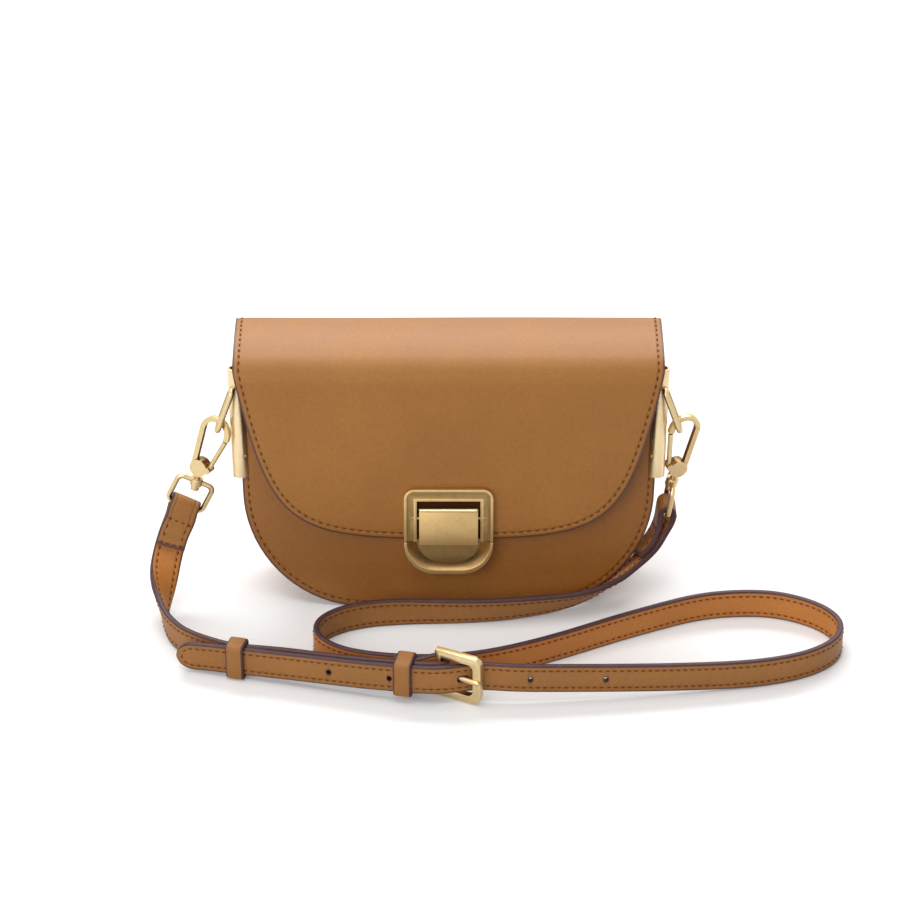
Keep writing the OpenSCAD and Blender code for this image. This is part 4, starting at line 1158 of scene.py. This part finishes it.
def saddle_curve(count=400):
    """The right half of the flap's edge, from the top of the face to the middle of the hem."""
    handles = ((face_half, bend_start), (0.842 * face_half, hem + 0.063 * (bend_start - hem)),
               (0.753 * face_half, hem), (0, hem))
    t = np.linspace(0, 1, count)[:, None]
    shares = (1 - t) ** 3, 3 * (1 - t) ** 2 * t, 3 * (1 - t) * t ** 2, t ** 3
    return sum(share * np.array(handle) for share, handle in zip(shares, handles))


def resampled(line, count):
    """The same line with so many points, at even steps."""
    length = distances(line)
    return read_at(np.linspace(0, length[-1], count), length, line)


def half_width_at(q):
    """Half the cut's width over the top and down the back, with its rounded corners."""
    side = face_half + 1.4 * np.clip((np.asarray(q) - bend_start) / 7.15, 0, 1)
    corner = np.clip((q - (flap_end - corner_r)) / corner_r, 0, 1)
    return side - corner_r * (1 - np.sqrt(1 - corner ** 2 * 0.9999))


curve = saddle_curve()
edge_q = np.linspace(bend_start, flap_end, 160)
right_edge = np.concatenate([curve[::-1], np.stack([half_width_at(edge_q), edge_q], axis=1)])
flap_rim = np.concatenate([right_edge[::-1] * (-1, 1), right_edge, [right_edge[-1] * (-1, 1)]])
print("the flap's edge is", round(distances(flap_rim)[-1]), "mm long all round")

# %% [markdown]
# The outline has to be filled with points. A fan from the middle would leave a pole, where light
# creases. The curved face is filled with rows and columns instead that blend its four sides, which
# are the top, the hem and both flanks. The rest is plain rows, closer together where the leather
# bends tightly.

# %% Points inside the outline
side_rows, face_columns = 34, 72
slope = np.abs(np.gradient(curve[:, 1]) / np.gradient(curve[:, 0]))
split = int(np.argmin(np.abs(slope[5:-5] - 1.0))) + 5  # where the edge turns from side to hem
right_side = resampled(curve[:split + 1], side_rows)
left_side = right_side * (-1, 1)
low = np.concatenate([curve[split:][:-1], (curve[split:] * (-1, 1))[::-1]])
low = resampled(low[::-1], face_columns)
top = np.stack([np.linspace(-face_half, face_half, face_columns), np.full(face_columns, bend_start)], axis=1)
v = np.linspace(0, 1, side_rows)[:, None, None]
u = np.linspace(0, 1, face_columns)[None, :, None]
face_grid = ((1 - v) * top[None] + v * low[None] + (1 - u) * left_side[:, None] + u * right_side[:, None]
             - (1 - u) * (1 - v) * top[0] - u * (1 - v) * top[-1] - (1 - u) * v * low[0] - u * v * low[-1])
tight_end, corner_q = bend_start + 15.85, flap_end - corner_r
over_q = np.concatenate([np.linspace(bend_start, tight_end, 15)[1:],
                         np.linspace(tight_end, bend_end - fold_r * 1.65, 20)[1:],
                         np.linspace(bend_end - fold_r * 1.55, bend_end, 9),
                         np.linspace(bend_end, corner_q, 5)[1:],
                         corner_q + corner_r * np.sin(np.linspace(0, math.pi / 2, 9)[1:])])
top_grid = np.stack([half_width_at(over_q)[:, None] * np.linspace(-1, 1, face_columns)[None],
                     np.repeat(over_q[:, None], face_columns, axis=1)], axis=-1)
flap_flat = np.concatenate([face_grid[::-1], top_grid])
flap_edge = distance_to(flap_rim, flap_flat.reshape(-1, 2))
print("the flap's cut has", flap_flat.shape[0], "rows of", flap_flat.shape[1], "points")

# %% [markdown]
# The flap moves and the back does not, and the leather between them bends. A rigid flap would tear away from
# the back at the ridge. Here the piece is only baked in place as drawn; nothing blends it between the bag
# and the flap, or makes it follow the flap. Leather is never quite even, so a slow drift of a tenth of a
# millimetre is added before the wall.

# %% Flap piece


def blended(made):
    """Bakes a piece's placement into its mesh; nothing makes it bend with the flap."""
    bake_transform(made)


x, q = flap_flat[..., 0].ravel(), flap_flat[..., 1].ravel()
drift = 0.12 * np.sin(x / 31 + 0.6) * np.sin(q / 23 + 1.1) + 0.08 * np.sin(x / 17) * np.sin(q / 13)
relief = drift * np.clip(flap_edge / 12, 0, 1) + pulled(flap_edge, 0.4)
flap = piece_of("flap_skin", over_bag(x, q, relief), grid_faces(*flap_flat.shape[:2]),
                (tan, flap_inner, rim_paint), flap_edge)
thick(flap, 2.2, 0.5, 3)
blended(flap)
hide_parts("flap_leather", "flap_lining")
print("flap:", len(flap.data.polygons), "faces")

# %% [markdown]
# The flap is sewn to its lining all round, 3 mm inside its edge, and the same row fixes its tail to the
# back. The row is the cut's outline drawn in, still flat, and then bent over the bag like the leather. Like
# the leather, it is only baked in place. The clasp covers its middle.

# %% Flap seam


def drawn_in(line, by):
    """A flat line moved to its left."""
    run = unit(np.gradient(line, axis=0))
    return line + by * np.stack([-run[:, 1], run[:, 0]], axis=1)


even_edge = resampled(right_edge, 420)
row = drawn_in(even_edge, seam_in)
clasp_half = 23.4
row = row[(row[:, 1] > hem + 8) | (row[:, 0] > clasp_half)]
tail = row[:, 1] > flap_end - seam_in - 0.6
row = row[~tail | (row[:, 0] < half_width_at(corner_q) - seam_in)]
row = np.concatenate([row, (row * (-1, 1))[::-1]])
lifted = float(pulled(seam_in, 0.4)) + 0.05
line = over_bag(row[:, 0], row[:, 1], lifted)
above = over_bag(row[:, 0], row[:, 1], lifted + 1)
blended(sew("flap_stitches", [steps_along(line, above - line)]))

# %% [markdown]
# ## Lining, facing and pocket
# Inside, a cotton twill lines the front, back and sides, a leather facing finishes the mouth, and a
# slip pocket is sewn on the back. They show when the flap is up. The linings are glued and sewn
# flat, so nothing has to fall as loose cloth would: each is a thin sheet worked out from the
# outline, with a few shallow ripples where the cloth isn't tight.

# %% Sheets of cloth
lining_in = 6.4


def ripple(a, b, depth=0.25):
    return depth * (np.sin(a / 9 + np.sin(b / 15)) * np.sin(b / 21) + 0.5 * np.sin(a / 5.3 + b / 11))


def cloth_sheet(name, grid, node):
    """A thin piece of cloth from rows of points, 0.7 mm thick, handed to the frame."""
    made = piece_of(name, grid.reshape(-1, 3), grid_faces(*grid.shape[:2]), (cloth, cloth, cloth))
    thick(made, 0.7, 0)
    dress(made, "bag", "lining_cloth", node)


x, s = np.moveaxis(panel_rows(half_outline(panel_h - 1, lining_in, 9.0), 40), -1, 0)
grid = on_front(x, s, -3.75 - np.abs(ripple(x, s)))
cloth_sheet("front_lining_cloth", grid[:, ::-1], "front_lining")
x, z = np.moveaxis(panel_rows(half_outline(panel_h * math.cos(lean), 6.0, 7.2), 40), -1, 0)
cloth_sheet("back_lining_cloth", on_back(x, z, -2.75 - np.abs(ripple(x, z, 0.15))), "back_lining")
a = closed_line(half_outline(panel_h - 1, lining_in, 7.8))
b = closed_line(half_outline(panel_h * math.cos(lean), lining_in, 7.8))
a, b = on_front(a[:, 0], a[:, 1], -3.9), on_back(b[:, 0], b[:, 1], -2.9)
t = np.linspace(0, 1, 14)[:, None, None]
cloth_sheet("gusset_lining_cloth", ((1 - t) * a + t * b)[:, ::-1], "gusset_lining")

# %% [markdown]
# The facing is a strip of leather round the inside of the mouth, which hides the lining's upper
# edge. The pocket is open at its top and stands off the lining a little, so that it looks like one.

# %% Facing and pocket
mouth_low, mouth_top, facing_at = 102, 116, -3.0
s = np.linspace(mouth_low, 115.9, 8)
u = np.linspace(1, -1, 41)
grid = on_front(np.outer(side_at(s) - lining_in, u), s[:, None], facing_at)
facing = piece_of("mouth_facing", grid.reshape(-1, 3), grid_faces(*grid.shape[:2]), (flap_inner, tan, paint),
                  np.repeat(np.minimum(s - mouth_low, mouth_top - s), len(u)))
dress(thick(facing, 0.95, 0.2), "bag", "tan_leather", "top_facing")
pocket_half, pocket_low, pocket_top, pocket_at = 60, 30, 102, -2.95


def inside_pocket(x, z):
    """0 on the pocket's sewn sides, 1 from 6 mm inside them."""
    return np.clip(np.minimum(pocket_half - np.abs(x), z - pocket_low) / 6, 0, 1)


def pocket_lift(x, z):
    return 1.75 * np.sin(inside_pocket(x, z) * math.pi / 2)


x, z = np.meshgrid(np.linspace(-pocket_half, pocket_half, 31), np.linspace(pocket_low, pocket_top, 21))
lift = pocket_lift(x, z) + np.abs(ripple(x, z, 0.15)) * inside_pocket(x, z)
cloth_sheet("slip_pocket_cloth", on_back(x, z, pocket_at - lift), "slip_pocket")

# %% [markdown]
# The facing has a row along each edge, and the pocket is sewn down on three sides, with a finer
# stitch than the outside has. The same tree makes them from three more lines, which lie just above
# the leather and the cloth.

# %% Inside seams
inside_rows = []
for s_at in (104.2, 113.6):
    reach = side_at(s_at) - 8.4
    x = np.linspace(-reach, reach, 80)
    line = on_front(x, s_at, facing_at - 0.04)
    inside_rows.append(steps_along(line, line - on_front(x, s_at, facing_at + 0.96)))
down, over = np.linspace(100.5, pocket_low + 2, 40), np.linspace(2 - pocket_half, pocket_half - 2, 60)
x = np.concatenate([np.full(40, over[0]), over[1:], np.full(39, over[-1])])
z = np.concatenate([down, np.full(59, down[-1]), down[::-1][1:]])
line = on_back(x, z, pocket_at - pocket_lift(x, z) - 0.12)
inside_rows.append(steps_along(line, np.tile([0.0, -1.0, 0.0], (len(line), 1))))
inside_seams = sew("inside_stitches", inside_rows, pitch=3.4, length=2.2, thickness=0.34)
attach(inside_seams, "bag")

# %% [markdown]
# ## Keepers
# Two leather loops hold the strap's plies beside the buckle: one is sewn down, the other slides.
# Each is a short band bent into a rounded rectangle, with painted edges. A flat strip with a
# thickness would need its corners bent afterwards, so here the band's cross section is led round
# the four corners instead, and its places in the section say which faces are painted.

# %% Loops round the strap
keeper_wide, keeper_high = 9.0, 15.6
keeper_section = [(-1, 0.7, 2.1), (-0.5, 0, 2.2), (0, 0, 2.24), (0.5, 0, 2.2), (1, 1.0, 2.1),
                  (1, 0.25, 1.85), (1, 0, 1.3), (1, 0.2, 0.75), (1, 0.6, 0.5), (0, 0, 0.5),
                  (-1, 0.6, 0.5), (-1, 0.2, 0.75), (-1, 0, 1.3), (-1, 0.2, 1.8)]
keeper_places = [OUTER] * 4 + [RIM] * 4 + [INNER] * 2 + [RIM] * 4


def keeper(name, at, turn, depth, body, node):
    """Leads the section round four corners: side, how far it is rounded there, and its height."""
    along_x, along_y = axes_at(turn)
    points, edge = [], []
    for q, (sy, sz) in enumerate(((1, 1), (-1, 1), (-1, -1), (1, -1))):
        y, z = sy * (depth / 2 - 0.5), sz * (keeper_high / 2 - 0.5)
        for a in np.radians(90 * q + 15 * np.arange(7)):
            for side, rounded, r in keeper_section:
                x = side * (keeper_wide / 2 - rounded)
                points.append(np.array(at) + lay + x * along_x + (y + r * math.cos(a)) * along_y
                              + (0, 0, z + r * math.sin(a)))
                edge.append(0.9 if abs(x) > keeper_wide / 2 - 1.1 else far_from_edge)
    rows = len(points) // len(keeper_section)
    faces = grid_faces(rows, len(keeper_section), around=True, looped=True)
    made = piece_of(name, points, faces, (strap_face, strap_back, paint), edge, keeper_places * rows)
    dress(sharp(turned_out(made), 60), body, "tan_leather", node)


keeper("keeper_by_buckle", (-20.8, -104.1, 12.8), -12, 10.3, "bag", "fixed_keeper")
keeper("sliding_keeper", (-102, -86.1, 9.8), -14.2, 7.5, "loose_keeper", "loose_keeper")

# %% [markdown]
# ## Brass fittings
# The fittings are rigid, and the CAD already holds their shape. What it lacks is the small rounding
# that catches the light on every polished edge, so each fitting is a copy of its CAD mesh, merged
# into solid faces and bevelled.

# %% Softened copies


def softened(node, body, round_off, finish):
    """A copy of a CAD piece with its edges above 32 degrees rounded."""
    mesh = nodes[node].data.copy()
    mesh.name = node + "_finished"
    b = bmesh.new()
    b.from_mesh(mesh)
    bmesh.ops.remove_doubles(b, verts=b.verts, dist=0.000002)
    bmesh.ops.dissolve_limit(b, angle_limit=math.radians(0.5), verts=b.verts, edges=b.edges)
    b.to_mesh(mesh)
    b.free()
    mesh.materials.clear()
    mesh.materials.append(finish)
    made = bpy.data.objects.new(mesh.name, mesh)
    bpy.context.scene.collection.objects.link(made)
    edge = made.modifiers.new("edge", "BEVEL")
    edge.width = round_off * MM
    edge.segments = 3
    edge.limit_method = "ANGLE"
    edge.angle_limit = math.radians(32)
    return dress(sharp(finished(made), 40), body, "brass", node)


# Paler and darker copies of the brass paint light on the clips and shade on the clasp, the catch and the
# rivets.
fittings = [("clasp_frame", "flap", 0.5, frame_brass), ("clasp_lever", "lever", 0.55, clasp_brass),
            ("catch_plate", "bag", 0.4, clasp_brass), ("clip_left", "bag", 0.2, clip_brass_painted_light),
            ("clip_right", "bag", 0.2, clip_brass_painted_light), ("clip_rivets", "bag", 0.2, shade_brass),
            ("ring_left", "ring_left", 0.1, brass), ("ring_right", "ring_right", 0.1, brass),
            ("hook_left", "hook_left", 0.5, brass), ("hook_right", "hook_right", 0.5, brass),
            ("gate_left", "gate_left", 0.2, brass), ("gate_right", "gate_right", 0.2, brass),
            ("eye_left", "eye_left", 0.2, brass), ("eye_right", "eye_right", 0.2, brass),
            ("buckle_frame", "bag", 0.9, brass)]
made_of = {node: softened(node, body, round_off, finish) for node, body, round_off, finish in fittings}

# %% [markdown]
# The inner side of a loop, the bottom of the catch's dish, the groove round the clasp and the lever below
# the hem get darker brass, which paints in shade and the reflection of the brown leather. On loops it is a
# number at each point, so that it fades out round the bar. On the clasp it is a second finish, given to
# faces picked by their place up the slope and off the leather.

# %% Darker places


def middle(made):
    low, high = box_of(made)
    return (low + high) / 2 / MM


def darkened_inside(made, opening):
    """Marks how far each point of a loop faces its opening, where painted shade darkens the brass."""
    mesh = made.data
    at, normal = np.empty(3 * len(mesh.vertices)), np.empty(3 * len(mesh.vertices))
    mesh.vertices.foreach_get("co", at)
    mesh.vertices.foreach_get("normal", normal)
    toward = np.sum(normal.reshape(-1, 3) * unit(opening * MM - at.reshape(-1, 3)), axis=1)
    hollow = mesh.attributes.new("hollow", "FLOAT", "POINT")
    hollow.data.foreach_set("value", np.clip((toward - 0.1) / 0.35, 0, 1).astype(np.float32))


def paint_shade_on(made, second, where):
    """Gives a second, darker finish, painted shade or reflection, to the faces that where picks: up the
    slope, off the leather, facing out.
    """
    made.data.materials.append(second)
    for face in made.data.polygons:
        x, y, z = face.center / MM
        up = (y - front_y) * math.sin(lean) + z * math.cos(lean)
        off = z * math.sin(lean) - (y - front_y) * math.cos(lean)
        outward = face.normal.z * math.sin(lean) - face.normal.y * math.cos(lean)
        if where(up, off, outward):
            face.material_index = 1


opening_above_middle = {"ring_left": 0, "ring_right": 0, "hook_left": 3, "hook_right": 3, "eye_left": 0,
                        "eye_right": 0, "buckle_frame": 0}
for node, raised in opening_above_middle.items():
    darkened_inside(made_of[node], middle(made_of[node]) + (0, 0, raised))
plate_top = flap_out + 3.4
# Painted shade in the frame's groove, painted shade and reflection on the lever below the hem, painted
# reflection of the leather in the catch's dish.
paint_shade_on(made_of["clasp_frame"], shade_brass,
     lambda up, off, out: out > 0.8 and abs(off - (plate_top - 1.1)) < 0.25)
paint_shade_on(made_of["clasp_lever"], shade_brass, lambda up, off, out: up < hem - 0.2 and out > 0.3)
paint_shade_on(made_of["catch_plate"], dish_brass_painted_reflection, lambda up, off, out: off < plate_top - 0.25 and out > 0.3)
print("loops with a darker inner side:", len(opening_above_middle))

# %% [markdown]
# Backing plates, screws, pins, spring, magnet and base board are hidden or tiny. A rounded edge
# wouldn't show on them, so they stay as the CAD made them and only get a finish.

# %% Hidden and tiny pieces
# The lever pin gets the darkest brass: painted shade.
plain_pieces = {"catch_backing": steel, "catch_magnet": steel, "catch_screws": steel,
                "clasp_backing": brass, "clasp_screws": brass, "lever_pin": shade_brass,
                "lever_spring": steel, "gate_pin_left": brass, "gate_pin_right": brass,
                "base_board": board}
for node, finish in plain_pieces.items():
    nodes[node].data.materials.clear()
    nodes[node].data.materials.append(finish)
print("CAD pieces with a finish:", len(plain_pieces))

# %% [markdown]
# ## Prong
# The buckle's prong is bent from an oval bar that swells to a rounded tip, with an eye round the
# buckle's back bar. The CAD's prong has one thickness all along, so it is drawn afresh: the bar is
# swept through rings of points that grow along it, and the eye is a section led round the bar.

# %% Prong


def joined(name, *parts):
    """One object from several, with the first one's materials."""
    b = bmesh.new()
    for part in parts:
        b.from_mesh(part.data)
    b.to_mesh(parts[0].data)
    b.free()
    for part in parts[1:]:
        bpy.data.objects.remove(part)
    parts[0].name = parts[0].data.name = name
    return parts[0]


root, tip = back_bar + (2.2, -1.6, 0), back_bar + (18.8, -11.85, 0)
through = np.cross(unit(tip - root), (0, 0, 1.0))
cap_start = 0.88
cap_length = 1 - cap_start
stations = []
for t in np.concatenate([np.linspace(0, cap_start, 12),
                         cap_start + cap_length * np.sin(np.linspace(0, math.pi / 2, 8)[1:])]):
    cap = math.sqrt(max(0.004, 1 - (max(0, t - cap_start) / cap_length) ** 2))
    upright = np.array((0, 0, 1.05 + 0.45 * min(1, t / 0.6)))
    stations.append((root + (tip - root) * t, through * 1.1 * cap, upright * cap))
prong_bar = tapered("prong_bar", stations, brass, 16)
eye_section = [(3.1, -0.9), (3.1, 0.9), (2.8, 1.4), (2.5, 1.5), (2.3, 1.3), (2.25, 0), (2.3, -1.3),
               (2.5, -1.5), (2.8, -1.4)]
turns = np.linspace(0, 2 * math.pi, 36, False)
points = [back_bar + (r * math.cos(q), r * math.sin(q), h) for q in turns for r, h in eye_section]
faces = grid_faces(len(turns), len(eye_section), around=True, looped=True)
prong_eye = turned_out(piece_of("prong_eye", points, faces, (brass,)))
dress(sharp(joined("prong", prong_bar, prong_eye), 50), "prong", "brass", "buckle_prong")

# %% [markdown]
# ## Window and rolled edge
# Behind the lever the clasp's window shows only shade, so a dark sheet is laid there: painted shade. The
# lever's top is rolled over, which gives it a bright line with a dark one under it: a thin rounded bar, in
# the paler brass that paints the highlight.

# %% Window and rolled edge


def on_clasp(x, up, off):
    """A point of the clasp: across, up the slope from the hem, and off the flap's outer face."""
    up, off = hem + up, flap_out + off
    return np.array((x, front_y + up * math.sin(lean) - off * math.cos(lean),
                     up * math.cos(lean) + off * math.sin(lean)))


def window_shade_finish():
    f = Finish("window_painted_shade")
    shade_noise = f.noise(f.place(), 1500, 3, 0.7)
    return f.set(Base_Color=f.mix(shade_noise, srgb(58, 32, 14), srgb(84, 50, 24)), Roughness=0.95,
                 Specular_IOR_Level=0.1, Normal=f.bump(shade_noise, 0.0001, 0.6))


# A dark sheet where the window shows only shade: painted shade.
window_shade = window_shade_finish()
x, up = np.meshgrid(np.linspace(-15.5, 15.5, 16), np.linspace(1.0, 21.2, 11))
points = [on_clasp(*place, 0.12) for place in zip(x.ravel(), up.ravel())]
window = piece_of("window_shade_sheet", points, grid_faces(*x.shape), (window_shade, window_shade, window_shade))
dress(thick(window, 0.2, 0), "flap", "lining_cloth")
bead_r, bead_half, bead_up, bead_off = 0.8, 14.3, 17.5, 5.0
outward, upward = on_clasp(0, 0, 1) - on_clasp(0, 0, 0), on_clasp(0, 1, 0) - on_clasp(0, 0, 0)
rounding = 0.5 * (1 - np.cos(np.linspace(0.15, math.pi / 2, 5)))
stations = []
for x in np.concatenate([rounding - bead_half, np.linspace(1 - bead_half, bead_half - 1, 9),
                         bead_half - rounding[::-1]]):
    end = min(1, (bead_half + 0.02 - abs(x)) / 0.5)
    wide = bead_r * math.sqrt(max(0.02, 1 - (1 - end) ** 2))
    stations.append((on_clasp(x, bead_up, bead_off), outward * wide, upward * wide))
# The rolled edge gets the paler brass: a painted highlight.
dress(sharp(tapered("lever_bead", stations, clip_brass_painted_light, 16), 50), "lever", "brass")

# %% [markdown]
# ## Floor and light
# The photo was taken on white under soft lights: one high behind the bag, which lights the flap's
# top and the clasp's lip, one above it, and a weaker one in front on the left. The floor glows a
# little for the camera only, so it shows white and still keeps the soft shadows.

# %% Floor


def seen_rays(f):
    """1 for the rays that show the background: seen, mirrored or through glass."""
    rays = f.tree.nodes.new("ShaderNodeLightPath")
    camera_ray, glossy, through = (Level(f, rays.outputs[f"Is {kind} Ray"])
                                   for kind in ("Camera", "Glossy", "Transmission"))
    seen = camera_ray + glossy + through
    return seen.join("MINIMUM", seen, 1.0)


def floor_finish():
    f = Finish("floor_white")
    away = f.add("ShaderNodeVectorMath", {"operation": "LENGTH"}, f.place(), out=1)
    glow = seen_rays(f) * (0.12 + away.between(0.5, 2.4) * 0.7)
    return f.set(Base_Color=srgb(233, 233, 233), Roughness=0.9, Specular_IOR_Level=0.1,
                 Emission_Color=f.mix(glow, (0, 0, 0, 1), (1, 1, 1, 1)), Emission_Strength=1.0)


floor_mesh = bpy.data.meshes.new("floor")
floor_mesh.from_pydata([(-6, -6, 0), (6, -6, 0), (6, 6, 0), (-6, 6, 0)], [], [(0, 1, 2, 3)])
floor_mesh.materials.append(floor_finish())
floor = bpy.data.objects.new("floor", floor_mesh)
bpy.context.scene.collection.objects.link(floor)
print("the floor glows for the camera only")

# %% Sky and lights
sky_light = 0.34
world = bpy.data.worlds.new("studio")
bpy.context.scene.world = world
sky = Finish("studio", world)
sky.set(Color=(1, 1, 1, 1), Strength=seen_rays(sky) * (1 - sky_light) + sky_light)


def soft_light(name, place, aim_at, size, power):
    """A lamp with a face of size, in metres, which gives soft shadows."""
    lamp = bpy.data.lights.new(name, "AREA")
    lamp.shape = "RECTANGLE"
    lamp.size, lamp.size_y = size
    lamp.energy = power
    holder = bpy.data.objects.new(name, lamp)
    holder.location = place
    holder.rotation_euler = (Vector(aim_at) - Vector(place)).to_track_quat("-Z", "Y").to_euler()
    bpy.context.scene.collection.objects.link(holder)


soft_light("back_light", (0, 0.88, 1.14), (0, 0, 0.08), (1.8, 0.45), 21)
soft_light("over_light", (-0.25, -0.15, 1.5), (0, -0.02, 0.05), (1.2, 0.8), 9)
soft_light("front_light", (-0.9, -1.5, 0.95), (0, 0, 0.07), (1.4, 1.0), 15.5)
bpy.context.scene.view_settings.view_transform = "Standard"
print("stage ready")

# %% [markdown]
